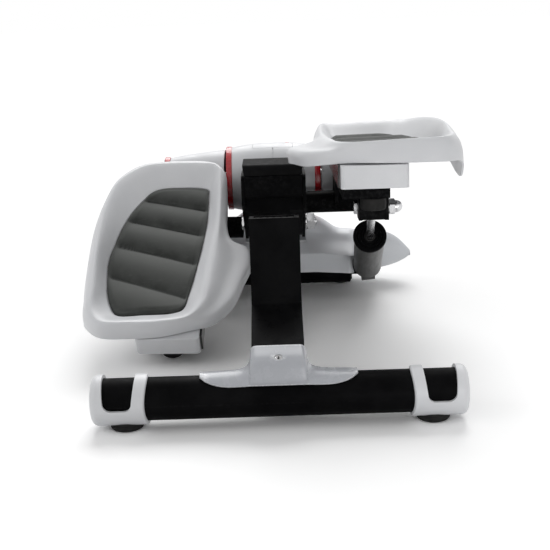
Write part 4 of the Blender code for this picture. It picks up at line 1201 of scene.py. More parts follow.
@dataclass
class Fairing(Part):
    """White front shell over the floor parts, lofted from tip to tip.

    Attributes:
        wall: Its wall.
        ease: Width of the eased crease over the near face.
        mouth: The (Y, Z) corners of its mouth, in which the yoke and the pod stand.
        mouth_half: Half the mouth's width.
        barrel_room: Radius that is left free round a barrel.
        stud_room: Radius that is left free round a stud.
        stud_ends: X where a stud's room begins and ends.
        rows: X, then the (Y, Z) knots over the shell, from the near foot to the far one.
    """

    wall: float = 2.4
    ease: float = 1.6
    mouth: Sequence[Flat] = ((380, 79), (515, 79), (515, 200), (380, 200))
    mouth_half: float = 43.5
    barrel_room: float = 21.2
    stud_room: float = 9.2
    stud_ends: Flat = (104, 150)
    rows: Sequence[tuple[float, Sequence[Flat]]] = (
        (0, ((425, 38), (425.9, 66), (455, 90), (462, 116), (505, 112), (545, 72), (556, 30))),
        (30, ((425, 38), (425.9, 66), (455, 90), (462, 116), (505, 112), (545, 72), (556, 30))),
        (46, ((425, 38), (425.9, 66), (456, 86), (463, 113), (505, 109), (544, 71), (555, 30))),
        (56, ((425, 38), (425.9, 66), (457, 84), (466, 104), (503, 104), (543, 70), (554, 30))),
        (70, ((425, 37), (425.9, 65), (457, 80), (470, 97), (500, 98), (541, 68), (552, 29))),
        (90, ((425, 35.6), (425.9, 62), (457, 74), (474, 84), (498, 85), (538, 64), (549, 27.6))),
        (108.4, ((425.6, 34.5), (426.5, 60.5), (458, 70.5), (476, 80.5), (497, 82.5),
                 (535, 62.5), (545, 27.5))),
        (114.5, ((452, 32.4), (453, 58), (463, 67), (478, 77), (497, 81.5),
                 (532, 62), (541, 27.4))),
        (122, ((474, 30.2), (475, 55), (478, 64), (484, 73), (497, 80), (528, 61), (537, 26.2))),
        (145, ((478, 26), (479, 51), (482, 61), (487, 71), (498, 78), (522, 59), (530, 25))),
        (164, ((481, 28), (482, 49), (485, 58), (489, 68), (499, 75), (517, 56), (524, 27))),
        (180, ((485, 32), (486, 45), (488, 52), (491, 60), (499, 66), (513, 50), (518, 31))),
        (192, ((489, 37), (490, 41), (492, 45), (494, 50), (499, 54), (508, 45), (511, 37))),
        (199, ((494, 42), (494.5, 40), (495.5, 42), (497, 44), (499, 45.5), (503, 42), (504, 42))),
    )

    def section(self, knots: Sequence[Flat]) -> list[Vector]:
        """One row's outer line: a straight near face with an eased crease, then a soft crown.

        Args:
            knots: The row's knots.

        Returns:
            The line's points, flat.
        """
        near, crease, *crown = (Vector((*knot, 0)) for knot in knots)
        back, crown = (near - crease).normalized(), smooth([crease, *crown], 6)
        out = [near.lerp(crease + back * self.ease, k / 5) for k in range(6)]
        out.append(crease + (back + (crown[1] - crease).normalized()) * 0.45)
        return out + crown[1:]

    def walled(self, row: Sequence[Vector]) -> list[Vector]:
        """Closes a row's outer line by its inner line.

        Args:
            row: The outer line.

        Returns:
            Both lines as one ring; the wall is thinner where the tip is narrow.
        """
        wide, tall = (max(p[k] for p in row) - min(p[k] for p in row) for k in (1, 2))
        wall, last = min(self.wall, 0.28 * tall, 0.3 * wide), len(row) - 1
        under = []
        for k, point in enumerate(row):
            run = (row[min(k + 1, last)] - row[max(k - 1, 0)]).normalized()
            spot = point + Vector((0, run.z, -run.y)) * wall
            if k in (0, last):
                spot = Vector((point.x, point.y + (-wall if k else wall), point.z))
            under.append(spot)
        return [*row, *under[::-1]]

    def build(self) -> None:
        """Lofts the shell, opens its mouth and leaves room for the studs and barrels."""
        table = [(-x, knots) for x, knots in reversed(self.rows[1:])] + list(self.rows)
        lines = [[Vector((x, p.x, p.y)) for p in self.section(knots)] for x, knots in table]
        columns = [smooth(column, 5) for column in zip(*lines)]
        form = loft([self.walled(row) for row in zip(*columns)])
        cuts = [prism(rounded(self.mouth, 3, 4), -self.mouth_half, self.mouth_half)]
        pivots, (y, z) = Linkage(Side.RIGHT).pivots(), PIVOT_BAR
        for side in Side:
            x = side.value
            cuts.append(bar(*((x * p.x, p.y, p.z) for p in pivots), self.barrel_room, 96))
            ends = [x * end for end in self.stud_ends]
            cuts.append(crossbar(*ends, PIVOT_BAR, self.stud_room))
            cuts.append(block((min(ends), y - 9, 0), (max(ends), y + 9, z)))
        # A lighter, bluer copy of the white: its extra lightness is painted light on the shell,
        # which lies under the pod and the arms.
        painted_lit_white = MouldedWhite(colour=(0.755, 0.775, 0.805, 1), shade=(0.70, 0.72, 0.75, 1))
        how = {"cuts": cuts, "edge": 0.5, "sharp": 42, "edge_from": 50}
        self.make("front_shell", form, painted_lit_white, "front_fairing", **how)


# ---------------------------------------------------------------- the pod and its bracket


@dataclass
class Bracket(Part):
    """Black yoke between the post and the pod, with its beam, bolt and nut."""

    plate_out: float = 41.5
    plate: float = 4.0
    outline: Sequence[Flat] = (
        *((300, 168, 3), (418, 92, 6), (440, 96, 6), (470, 112, 6), (505, 150, 8)),
        *((500, 183, 8), (455, 190, 4), (330, 204, 6), (303, 204.5, 9)),
    )
    axle: Flat = (484.74, 163.0)
    axle_bore: float = 11.2
    bolt_bore: float = 5.3
    cap: Sequence[Flat] = ((299.5, 205.5, 1), (299.5, 219.4, 5), (360, 217.5, 4), (360, 205.5, 1))
    web_line: Sequence[Flat] = (
        *((300.4, 205.1), (300.4, 179.2), (301.0, 176.9), (302.6, 175.2)),
        *((304.4, 175.0), (304.4, 179.0), (304.4, 205.1)),
    )
    beam: Sequence[Flat] = ((136.2, 148), (128.7, 105), (461.9, 105), (461.9, 148))
    beam_half: float = 19.0
    gusset: Sequence[Flat] = (
        *((309, 158.0), (402, 99.5), (402, 103.5)),
        *((320, 160.5), (320, 204), (309, 204)),
    )

    def build(self) -> None:
        """Builds the plates, web, cap, beam and fixings."""
        inner = self.plate_out - self.plate
        for side in Side:
            x = side.value
            form = prism(rounded(self.outline, 5, 8), *sorted((x * self.plate_out, x * inner)))
            holes = ((self.axle, self.axle_bore), (YOKE_BOLT, self.bolt_bore))
            cuts = [crossbar(x * 30, x * 50, at, radius) for at, radius in holes]
            name = f"bracket_plate_{side.word}"
            self.make(f"yoke_plate_{side.word}", form, BLACK, name, cuts=cuts, edge=0.8)
        inner -= 0.3
        self.web(inner)
        form = prism(rounded(self.cap, 2, 8), -39.4, 38.2)
        for vert in form.verts:
            vert.co.x *= 1 - 0.05 * (219.4 - vert.co.z) / 14
        self.make("yoke_cap", form, SatinBlackPlastic(), "bracket_cap", edge=1.6, rounds=4)
        form = prism(self.beam, -self.beam_half, self.beam_half)
        welds = [crossbar(x * 18, x * inner, YOKE_BOLT, 10) for x in (-1, 1)]
        hole = crossbar(-40, 40, YOKE_BOLT, self.bolt_bore, 48)
        how = {"welds": welds, "cuts": [hole], "edge": 2.0, "rounds": 4}
        self.make("centre_beam", form, BLACK, "tie_beam", **how)
        self.fixings()

    def web(self, inner: float) -> None:
        """Builds the yoke's near web, whose lower edge is rolled back, and its gusset.

        Args:
            inner: Half the room between the plates.
        """
        form = prism(self.web_line, -inner, inner)
        self.make("yoke_web", form, BLACK, "bracket_web", edge=0.5)
        form, near = prism(self.gusset, -inner, -self.beam_half - 0.3), self.beam_half + 0.3
        welds = [prism(self.gusset, near, inner), block((-20, 309, 150), (20, 320, 204))]
        self.make("yoke_gusset", form, BLACK, welds=welds, edge=0.5)

    def fixings(self) -> None:
        """Builds the cross bolt with its head, its nut and its washer."""
        profile = [(0, 0), (4.2, 0), (5, 0.8), (5, 99.4), (4.4, 100), (0, 100)]
        bolt = turned(profile, toward((-43, *YOKE_BOLT), (57, *YOKE_BOLT)), 48)
        head = nut((-41.8, *YOKE_BOLT), (-45.2, *YOKE_BOLT), 16, 0.3)
        self.make("yoke_bolt", bolt, CHROME, "bracket_bolt", welds=[head], edge=0.2)
        form = nut((43.6, *YOKE_BOLT), (54.5, *YOKE_BOLT), 21, 0.25)
        hole = crossbar(40, 60, YOKE_BOLT, 5.2, 48)
        self.make("yoke_nut", form, CHROME, "bracket_nut", cuts=[hole], edge=0.3)
        self.make("yoke_washer", crossbar(41.7, 43.5, YOKE_BOLT, 12.0, 64, 5.4), CHROME, edge=0.3)


@dataclass
class Pod(Part):
    """White centre cover on the pod axis, its console, rings and stub axles."""

    crown: Sequence[Flat] = ((0, 49.3), (15, 49.1), (30, 48.3), (45, 46.6), (59.8, 44))
    wall: float = 2.5
    mouth: Sequence[Flat] = ((0, 0), (-80, 62), (-120, 0), (-80, -100), (45, -100))
    mouth_half: float = 42.2
    ring: Sequence[Flat] = (
        *((37, 0), (44.3, 0), (45.2, 0.5), (45.5, 1.4)),
        *((45.5, 6.7), (45.2, 7.6), (44.3, 8.1), (37, 8.1)),
    )
    button: float = radians(7)

    def build(self) -> None:
        """Builds the cover, the console, the rings and the axles."""
        half = [(r, x) for x, r in smooth_flat(self.crown, 4)]
        outside = half[::-1][:-1] + [(r, -x) for r, x in half]
        inside = [(r - self.wall, x) for r, x in reversed(outside)]
        form = turned(outside + inside, lying(POD), 160, ring=True)
        mouth = [(POD[0] + a, POD[1] + b) for a, b in self.mouth]
        cuts = [prism(mouth, -self.mouth_half, self.mouth_half)]
        cuts += [self.arc_block(28.3, 36, 60, -35.4, 21.4), self.arc_block(0.55, 47.6, 60, 21, 60)]
        self.make("pod_cover", form, WHITE, "centre_pod_cover", cuts=cuts, edge=0.35, **CROWNED)
        self.console()
        for side in Side:
            x = side.value
            form = turned(self.ring, toward((x * 58.3, *POD), (x * 66.4, *POD)), 128, ring=True)
            self.make(f"red_ring_inner_{side.word}", form, GlossRed(), f"inner_ring_{side.word}")
            self.axle(side)

    def arc_block(
        self,
        half: float,
        inner: float,
        outer: float,
        begin: float,
        end: float,
        fall: float = 0,
        middle: float = 0,
    ) -> BMesh:
        """A piece of pipe round the pod axis; its angles run from the top to the near side.

        Args:
            half: Half its width.
            inner: Inner radius.
            outer: Outer radius.
            begin: First angle in degrees.
            end: Last angle.
            fall: How much the outer radius falls 30 mm from the middle.
            middle: The middle's X.

        Returns:
            The mesh.
        """
        rings = []
        angles = [radians(begin + (end - begin) * k / 28) for k in range(29)]
        for step in range(13):
            x = middle - half + 2 * half * step / 12
            top = outer - fall * (x / 30) ** 2
            arcs = [(top, a) for a in angles] + [(inner, a) for a in angles[::-1]]
            rings.append([Vector((x, POD[0] - r * sin(a), POD[1] + r * cos(a))) for r, a in arcs])
        return loft(rings)

    def console(self) -> None:
        """Builds the console frame with its window and its button."""
        foot, seat, top = (self.button_at(radius) for radius in (40, 45.5, 60))
        cuts = [self.arc_block(16, 46.6, 60, -24, -10.2, middle=-4), bar(foot, top, 4.35, 48)]
        form = self.arc_block(28, 43.6, 49.35, -35, 21, fall=1.0)
        self.make("console_frame", form, WHITE, "console_housing", cuts=cuts, edge=0.5, **CROWNED)
        form = self.arc_block(15.7, 46.9, 48.4, -23.6, -10.6, middle=-4)
        self.make("console_window", form, DarkLens(), "console_lens", edge=0.3)
        profile = [(1.0 * k, 3.6 - 0.03 * k * k) for k in range(4)]
        profile += [(3.7, 3.0), (4.0, 2.5), (4.0, -1.5), (0, -1.5)]
        form = turned(profile, toward(seat, top), 48)
        self.make("reset_button", form, GlossRed(), "console_button", body="button")

    def button_at(self, radius: float) -> Spot:
        """A point on the button's axis, at a radius from the pod's."""
        return (20.0, POD[0] + radius * sin(self.button), POD[1] + radius * cos(self.button))

    def axle(self, side: Side) -> None:
        """Builds one stub axle on its tilted axis.

        Args:
            side: Its side.
        """
        hub = Vector((side.value * HUB_X, *POD))
        axis = Vector((side.value * cos(TILT), 0, sin(TILT)))
        start, stop = hub - axis * (53 / cos(TILT)), hub + axis * (80 / cos(TILT))
        long = (stop - start).length
        profile = [(0, 0), (9, 0), (10, 1), (10, long - 1), (9, long), (0, long)]
        form = turned(profile, toward(start, stop), 64)
        self.make(f"stub_axle_{side.word}", form, TurnedSteel(), f"axle_{side.word}")


# ---------------------------------------------------------------- arms


@dataclass(frozen=True)
class Linkage:
    """Where one side's arm, barrel and rod stand at rest.

    Attributes:
        side: The side.
        pin: (x, u, w) of the clevis bolt's middle.
        up: The raised arm's angle, which is the right one.
        down: The lowered arm's angle.
    """

    side: Side
    pin: Spot = (120.3, 277.63, -8.28)
    up: float = radians(5.11)
    down: float = radians(-29.09)

    @property
    def axis(self) -> Vector:
        """The arm's hinge axis."""
        return Vector((cos(TILT), 0, self.side.value * sin(TILT)))

    @property
    def mirror(self) -> Matrix:
        """Turns a right piece into this side's."""
        return Matrix.Diagonal((self.side.value, 1, 1, 1))

    def arm(self) -> Matrix:
        """Puts an arm piece of the right side, in its own axes, on this side.

        Returns:
            The piece's place.
        """
        swing = self.up if self.side is Side.RIGHT else self.down
        hub = Matrix.Translation((self.side.value * HUB_X, *POD))
        return hub @ Matrix.Rotation(-swing, 4, self.axis) @ self.mirror

    def pivots(self) -> tuple[Vector, Vector]:
        """Finds where the cylinder turns on the pivot bar and on the clevis bolt.

        Returns:
            The lower and the upper pivot.
        """
        plane = cos(TILT) * self.pin[0] + sin(TILT) * (POD[1] + self.pin[2])
        across = (plane - sin(TILT) * PIVOT_BAR[1]) / cos(TILT)
        upper = self.arm() @ Vector(arm_spot(*self.pin))
        return Vector((self.side.value * across, *PIVOT_BAR)), upper

    def cylinder(self, at_upper: bool) -> Matrix:
        """Puts a cylinder piece, whose Z runs up the barrel, at a pivot.

        Args:
            at_upper: True for the upper pivot.

        Returns:
            The piece's place.
        """
        lower, upper = self.pivots()
        z = (upper - lower).normalized()
        turn = Matrix((self.axis, z.cross(self.axis), z)).transposed().to_4x4()
        return Matrix.Translation(upper if at_upper else lower) @ turn @ self.mirror


def arm_spot(x: float, u: float, w: float) -> Spot:
    """An arm's (x, u, w) as a point from its hub."""
    return (x - HUB_X, -u, w)


def arm_block(low: Spot, high: Spot) -> BMesh:
    """A box between two of an arm's (x, u, w)."""
    return block(arm_spot(*low), arm_spot(*high))


def arm_bar(
    low: float, high: float, u: float, w: float, radius: float, steps: int = 48, bore: float = 0.0
) -> BMesh:
    """A bar or pipe along X from one x of an arm to another."""
    return crossbar(low - HUB_X, high - HUB_X, (-u, w), radius, steps, bore)


@dataclass
class SidePart(Part):
    """A sub-assembly of one side, built as the right one and put in place by its linkage."""

    link: Linkage

    def make(self, name: str, form: BMesh, finish: Finish, *nodes: str, **how: object) -> None:
        """Makes one piece, on the side's arm if no other body is named.

        Args:
            name: The piece's name without its side.
            form: Its mesh in the right side's own axes.
            finish: Its finish.
            *nodes: The nodes that it replaces, without their side.
            **how: What else the workbench takes.
        """
        word = self.link.side.word
        how = {"body": f"{word}_arm", "place": self.link.arm(), **how}
        super().make(f"{name}_{word}", form, finish, *(f"{node}_{word}" for node in nodes), **how)


@dataclass
class Pedal(SidePart):
    """The white foot plate of one arm and the grey mat in it.

    Attributes:
        fine: Steps between neighbouring stations.
        floor: Height of the mat's seat.
        wall: Wall of the skirt.
        high: Height of the mat.
        bulge: How far the mat's pillows stand out.
        valleys: Where the mat's valleys cross its middle.
        stations: Round the plate, the skirt's height, widest edge, crest and mat recess as
            (x, u, w), and the share of the rise that is done half way to the crest.
    """

    fine: int = 12
    floor: float = 59.7
    wall: float = 3.0
    high: float = 63.0
    bulge: float = 5.0
    valleys: Sequence[float] = (80.0, 122.6, 168.5, 219.5, 278.0, 341.0)
    stations: Sequence[tuple[float, Spot, Spot, Spot, float]] = (
        (50.5, (73, 51.5, 66), (77.5, 61.5, 79), (84.5, 92.8, 62), 0.75),
        (50.5, (90, 43.5, 66), (92, 60, 78.6), (93, 90.2, 62), 0.75),
        (50.5, (114, 42, 66), (116, 60, 79), (116, 89.0, 62), 0.75),
        (50.5, (149, 44, 66), (147, 62, 80), (147, 91.5, 62), 0.75),
        (50, (173, 49, 66), (167, 66, 80.8), (160.5, 99.5, 62), 0.75),
        (50.0, (193, 63, 66), (183, 78, 82.2), (170, 113.5, 62), 0.75),
        (49.5, (209, 92, 66), (200, 101.5, 85.6), (178.5, 130.0, 62), 0.75),
        (45.0, (220, 135, 66), (209, 140, 87.4), (187.5, 151.0, 62), 0.75),
        (36.0, (226, 180, 66), (212.5, 181.5, 88.2), (194.5, 179.0, 62), 0.75),
        (26.8, (226, 240, 66), (212.5, 240, 87.2), (202.5, 231.0, 62), 0.75),
        (29.0, (223, 296, 65), (209.5, 294, 83.5), (198.8, 277.0, 62), 0.75),
        (49.0, (218, 330, 64), (208, 327, 80), (192, 305.0, 62), 0.75),
        (51.2, (200, 348.5, 64), (196, 345, 79.2), (181, 322.0, 62), 0.8),
        (51.4, (158, 350.5, 64), (157, 347, 78), (146, 322.0, 62), 0.8),
        (51.6, (123, 347.5, 64), (123, 344, 76.5), (112, 319.5, 62), 0.8),
        (51.6, (92, 339, 64), (92, 335, 75), (99.5, 313.0, 62), 0.8),
        (49.4, (64, 328, 63), (76, 312, 74.5), (93, 286.0, 62), 0.5),
        (45, (42, 298, 61), (71.5, 290, 74), (88.7, 258.0, 62), 0.33),
        (43.5, (29, 256, 59), (69.5, 262, 73.5), (85.2, 229.0, 62), 0.3),
        (42.8, (21.5, 226, 58), (67.5, 238, 73), (82.7, 207.0, 62), 0.28),
        (43.5, (26, 205, 59), (66, 214, 72.8), (80.7, 185.0, 62), 0.28),
        (46.5, (47, 193, 62), (64.5, 195, 73.2), (79.2, 162.0, 62), 0.45),
        (49.2, (54.5, 168, 64), (64, 166, 74.5), (78.9, 144.0, 62), 0.65),
        (50, (56, 128, 65), (65, 128, 76.8), (79.4, 124.0, 62), 0.7),
        (50.3, (58.5, 92, 66), (67, 92, 78.6), (80.4, 106.0, 62), 0.75),
        (50.4, (62, 66, 66), (69.5, 70.5, 79.2), (81.2, 96.5, 62), 0.75),
    )

    def chains(self) -> list[list[Vector]]:
        """Runs smooth rings through the stations.

        Returns:
            The five rings round the plate: skirt, edge, half way, crest and recess.
        """
        rows = []
        for skirt, edge, crest, recess, share in self.stations:
            middle = ((edge[0] + crest[0]) / 2, (edge[1] + crest[1]) / 2)
            half = (*middle, edge[2] + share * (crest[2] - edge[2]))
            flare = max(edge[0] - 208, 0) * 0.15
            rows.append(((edge[0] + flare, edge[1], skirt), edge, half, crest, recess))
        rings = ([Vector(arm_spot(*spot)) for spot in ring] for ring in zip(*rows))
        return [smooth(ring, self.fine, closed=True) for ring in rings]

    def shell(self) -> BMesh:
        """Lofts the plate from the mat's seat over the rim and back under it.

        Returns:
            The closed mesh.
        """
        skirt, edge, half, crest, recess = self.chains()
        rings = [[Vector((p.x, p.y, self.floor)) for p in inward(recess, 0.6)]]
        rings.append(inward(recess, 0.45, 0.5))
        rings += zip(*(smooth(knots, 6) for knots in zip(recess, crest, half, edge, skirt)))
        rings += [inward(skirt, 0.6, 0.5), inward(skirt, self.wall - 0.6, 0.5)]
        rings.append(inward(skirt, self.wall))
        rings += [inward(edge, self.wall, 1.0), inward(half, 1.2, 3.2)]
        return loft([*rings, inward(crest, 0.6, 3.6), inward(recess, 0, 4.2)])

    def wave(self, x: float, u: float) -> float:
        """Height of the mat's long pillows, whose valleys slant and spread towards the heel.

        Args:
            x: Across the mat.
            u: Along it.

        Returns:
            The share of the pillow's height.
        """
        slant = x - 140
        line = (u + 0.1587 * slant) / (1 - 0.0008 * slant)
        before, after = self.valleys[0] - 40, self.valleys[0]
        for start, stop in zip(self.valleys, self.valleys[1:]):
            if line >= start:
                before, after = start, stop
        share = min(max((line - before) / (after - before), 0), 1)
        return 4 * share * (1 - share)

    def mat(self) -> BMesh:
        """Lofts the mat: its border stands up, then its rings close on its middle.

        Returns:
            The closed mesh.
        """
        outline = inward(self.chains()[4], 1.7)
        middle = sum(outline, Vector()) / len(outline)
        base, top = self.floor + 0.3, self.high - 1.5
        rings = [[Vector((p.x, p.y, z)) for p in outline] for z in (base, top)]
        steps = 84
        for k in range(steps):
            row = []
            for p in outline:
                spot = middle + (p - middle) * (1 - k / steps)
                edge = (p - spot).length
                rise = self.wave(spot.x + HUB_X, -spot.y) - 0.5
                lift = self.bulge * rise * min(0.25 + edge / 12, 1)
                row.append(Vector((spot.x, spot.y, self.high - exp(-edge / 1.1) + lift)))
            rings.append(row)
        return loft(rings)

    def build(self) -> None:
        """Builds the plate and its mat."""
        # The mat's painted light faces this arm's toe.
        toe = tuple(round(value, 4) for value in self.link.arm().to_3x3() @ Vector((0, 1, 0)))
        self.make("foot_plate", self.shell(), WHITE, "pedal_shell", sharp=50)
        self.make("foot_mat", self.mat(), MatRubber(toe=toe), "pedal_mat", sharp=60)


@dataclass
class Arm(SidePart):
    """One arm's steel frame, its white box, covers and fixings."""

    cheeks: Sequence[Flat] = ((84, 89), (131, 136))
    box_outside: Sequence[Flat] = ((79.4, 350, 5), (157.2, 350, 5), (157.2, 85, 9), (79.4, 85, 9))
    box_inside: Sequence[Flat] = ((81.6, 347, 3), (155, 347, 3), (155, 50, 0), (81.6, 50, 0))
    yoke: Sequence[Flat] = (
        *((-258, 8.7, 1), (-301, 8.7, 1), (-301, -21.5, 3)),
        *((-268, -21.5, 7), (-258, -9, 5)),
    )
    crown: Sequence[Flat] = ((25.5, 76), (29.5, 60), (33.5, 42), (37.5, 22), (40.5, 4), (42, -8))
    ring: Sequence[Flat] = (
        *((22, 84), (25.2, 84), (26.1, 83.6), (26.6, 82.6)),
        *((26.6, 77.6), (26.2, 76.7), (25.4, 76.3), (22, 76.3)),
    )
    tip: Sequence[Flat] = (
        *((0, 88), (7, 87.9), (14, 87.4), (18, 86.7), (21.5, 85.7)),
        *((24.0, 84.7), (24.5, 84.3), (21.6, 84.3), (21.6, 81.5), (0, 81.5)),
    )

    def build(self) -> None:
        """Builds every piece that rides on the arm, but for the pedal."""
        self.steel()
        self.box()
        self.clevis()
        self.covers()

    def steel(self) -> None:
        """Builds the hub sleeve, cheeks, cross tube and box channel as one welded frame."""
        axis = Vector((cos(TILT), 0, sin(TILT)))
        form = bar(axis * 0.5, axis * 76, 16, 64, 10.5)
        welds = []
        for low, high in self.cheeks:
            rise = (high - HUB_X) * tan(TILT)
            points = [(-14, rise - 12), (-14, rise + 12), (8, rise + 15), (62, 41), (120, 41)]
            points += [(120, 14), (92, -30), (72, -42), (44, -32)]
            cheek = [(-u, w) for u, w in rounded(points, 8, 6)]
            welds.append(prism(cheek, low - HUB_X, high - HUB_X))
        welds.append(arm_bar(42.5, 140, 73.1, -28.27, 15, 64))
        welds.append(arm_block((82.2, 330, 9), (137, 60, 45)))
        cuts = [arm_block((92, 322, 12), (128, 50, 42)), bar(axis * -30, axis * 120, 10.5)]
        self.make("arm_steel", form, BLACK, "arm_frame", welds=welds, cuts=cuts, edge=0.9)
        plate = arm_block((76.4, 344, 24), (79.1, 62, 49.3))
        lug = arm_block((78.9, 80, 26), (83.7, 64, 40))
        gloss = PowderBlack(rough=0.09, sheen=0.5)
        self.make("arm_side_plate", plate, gloss, welds=[lug], edge=0.4)

    def box(self) -> None:
        """Builds the white box over the channel, and the rubber bumper under the heel."""
        lines = (self.box_outside, self.box_inside)
        outline, cavity = ([(x - HUB_X, -u, r) for x, u, r in line] for line in lines)
        form = prism(rounded(outline, 5, 8), 22.7, 49.4, Axis.Z)
        pad = arm_block((96, 318, 48), (146, 112, 57.4))
        cuts = [prism(rounded(cavity, 3, 6), 10, 46.2, Axis.Z)]
        self.make("arm_box", form, WHITE, "arm_cover", welds=[pad], cuts=cuts, edge=1.1)
        profile = [(0, 14.1), (14.4, 14.1), (15, 13.5), (15, 3.5)]
        angles = [radians(angle) for angle in range(10, 90, 10)]
        profile += [(15 - 3.5 * (1 - cos(angle)), 3.5 - 3.5 * sin(angle)) for angle in angles]
        profile += [(11.5, 0), (3.4, 0), (3.0, 1.4), (0, 1.4)]
        form = turned(profile, Matrix.Translation(arm_spot(118, 320, -5.4)), 72)
        self.make("heel_bumper", form, RUBBER, "bumper")

    def clevis(self) -> None:
        """Builds the clevis under the arm with its bolt, washer and acorn nut."""
        outline = rounded(self.yoke, 3, 8)
        sheets = ((102.6, 106.6), (133.6, 138))
        form, outer = (prism(outline, low - HUB_X, high - HUB_X) for low, high in sheets)
        welds, at = [outer, arm_block((103, 301, -20.5), (137.5, 297, 8.7))], self.link.pin[1:]
        hole = arm_bar(90, 150, *at, 4.1)
        self.make("clevis_yoke", form, BLACK, "clevis", welds=welds, cuts=[hole], edge=0.7)
        head = nut(arm_spot(102.3, *at), arm_spot(97.6, *at), 14, 0.2)
        shank = arm_bar(100, 146, *at, 3.7)
        self.make("clevis_pin", shank, CHROME, "clevis_bolt", welds=[head], edge=0.25)
        self.make("clevis_washer", arm_bar(138.2, 139.6, *at, 9.6, bore=4.0), CHROME, edge=0.2)
        form = nut(arm_spot(139.7, *at), arm_spot(147.2, *at), 17.5, 0.2)
        angles = [step * pi / 24 for step in range(13)]
        dome = [(7.4 * sin(angle), 2.4 + 7.6 * cos(angle)) for angle in angles]
        dome += [(7.4, -2), (0, -2)]
        cap = turned(dome, toward(arm_spot(146.4, *at), arm_spot(150, *at)), 48)
        self.make("acorn_cap", form, CHROME, "acorn_nut", welds=[cap], edge=0.3)

    def covers(self) -> None:
        """Builds the tapered pod cover, the outer red ring and the white end cap."""
        place = toward((0, 0, 0), (cos(TILT), 0, sin(TILT)))
        outside = smooth_flat(self.crown, 3)
        inside = [(r - 2.4, z) for r, z in reversed(outside)]
        form = turned(outside + inside, place, 128, ring=True)
        cuts = [block((-60, -80, -80), (68.6 - HUB_X, 80, 80))]
        for low, high in self.cheeks:
            cuts.append(block((low - 0.4 - HUB_X, -60, -34.5), (high + 0.4 - HUB_X, -9, 38)))
        self.make("pod_taper", form, WHITE, "outer_pod_cover", cuts=cuts, edge=0.35, **CROWNED)
        ring = turned(self.ring, place, 96, ring=True)
        self.make("red_ring_outer", ring, GlossRed(), "outer_ring")
        self.make("pod_tip", turned(self.tip, place, 96), WHITE, "pod_end_cap")


@dataclass
class Cylinder(SidePart):
    """One hydraulic cylinder: grey barrel, black gland and bright rod."""

    radius: float = 20.0
    end: float = 157.0

    def build(self) -> None:
        """Builds the barrel, the gland with its seal, and the rod with its eye."""
        word = self.link.side.word
        self.barrel(f"{word}_cylinder")
        shaft = turned([(0, -177), (4.2, -177), (5, -176), (5, -10.5), (0, -10.5)], None, 48)
        neck = turned([(0, -22), (6.4, -22), (7.2, -21), (7.2, -9), (0, -9)], None, 48)
        welds, cuts = [crossbar(-6, 6, (0, 0), 12.4), neck], [crossbar(-20, 20, (0, 0), 8.9, 48)]
        how = {"body": f"{word}_rod", "place": self.link.cylinder(True)}
        how |= {"welds": welds, "cuts": cuts, "edge": 0.3}
        bright = Chrome(colour=(0.60, 0.60, 0.61, 1), rough=0.18)
        self.make("piston_rod", shaft, bright, "cylinder_rod", **how)

    def barrel(self, body: str) -> None:
        """Builds the barrel with its cross eye, the ringed gland and the rod's seal.

        Args:
            body: The cylinder's body.
        """
        r, end = self.radius, self.end
        on = {"body": body, "place": self.link.cylinder(False)}
        profile = [(0, end), (r - 1.4, end), (r - 0.4, end - 0.4), (r, end - 1.4), (r, 20)]
        profile += [(r - 0.6, 18.6), (14.5, 11.5), (13.5, 10.6), (0, 10.6)]
        cuts = [bar((0, 0, 20), (0, 0, 170), 8, 48), crossbar(-30, 30, (0, 0), 9.6)]
        form, welds = turned(profile, None, 96), [crossbar(-9.5, 9.5, (0, 0), 17.2)]
        how = {"welds": welds, "cuts": cuts, "edge": 0.5, **on}
        self.make("barrel", form, CylinderGrey(), "cylinder_body", **how)
        low, top = end + 0.3, end + 6.0
        face = [(7.2, 1.2), (8.4, 1.2), (8.8, 0.2), (10.4, 0.2), (10.8, 1.8), (12.6, 1.8)]
        face += [(13.0, 0.1), (15.0, 0.1), (15.4, 1.8), (17.6, 1.8), (18.0, 0), (20.6, 0)]
        face += [(21.6, 0.4), (22, 1.4)]
        profile = [(7.2, low), *((a, top - deep) for a, deep in face)]
        profile += [(22, low + 0.6), (21.5, low)]
        form = turned(profile, None, 96, ring=True)
        self.make("gland", form, PowderBlack(rough=0.24), "cylinder_gland", edge=0.2, **on)
        seal = [(5.3, low), (5.3, top - 1.6), (6.0, top - 0.9), (7.0, top - 1.3), (7.1, low)]
        self.make("rod_seal", turned(seal, None, 64, ring=True), RUBBER, **on)


# ---------------------------------------------------------------- studio


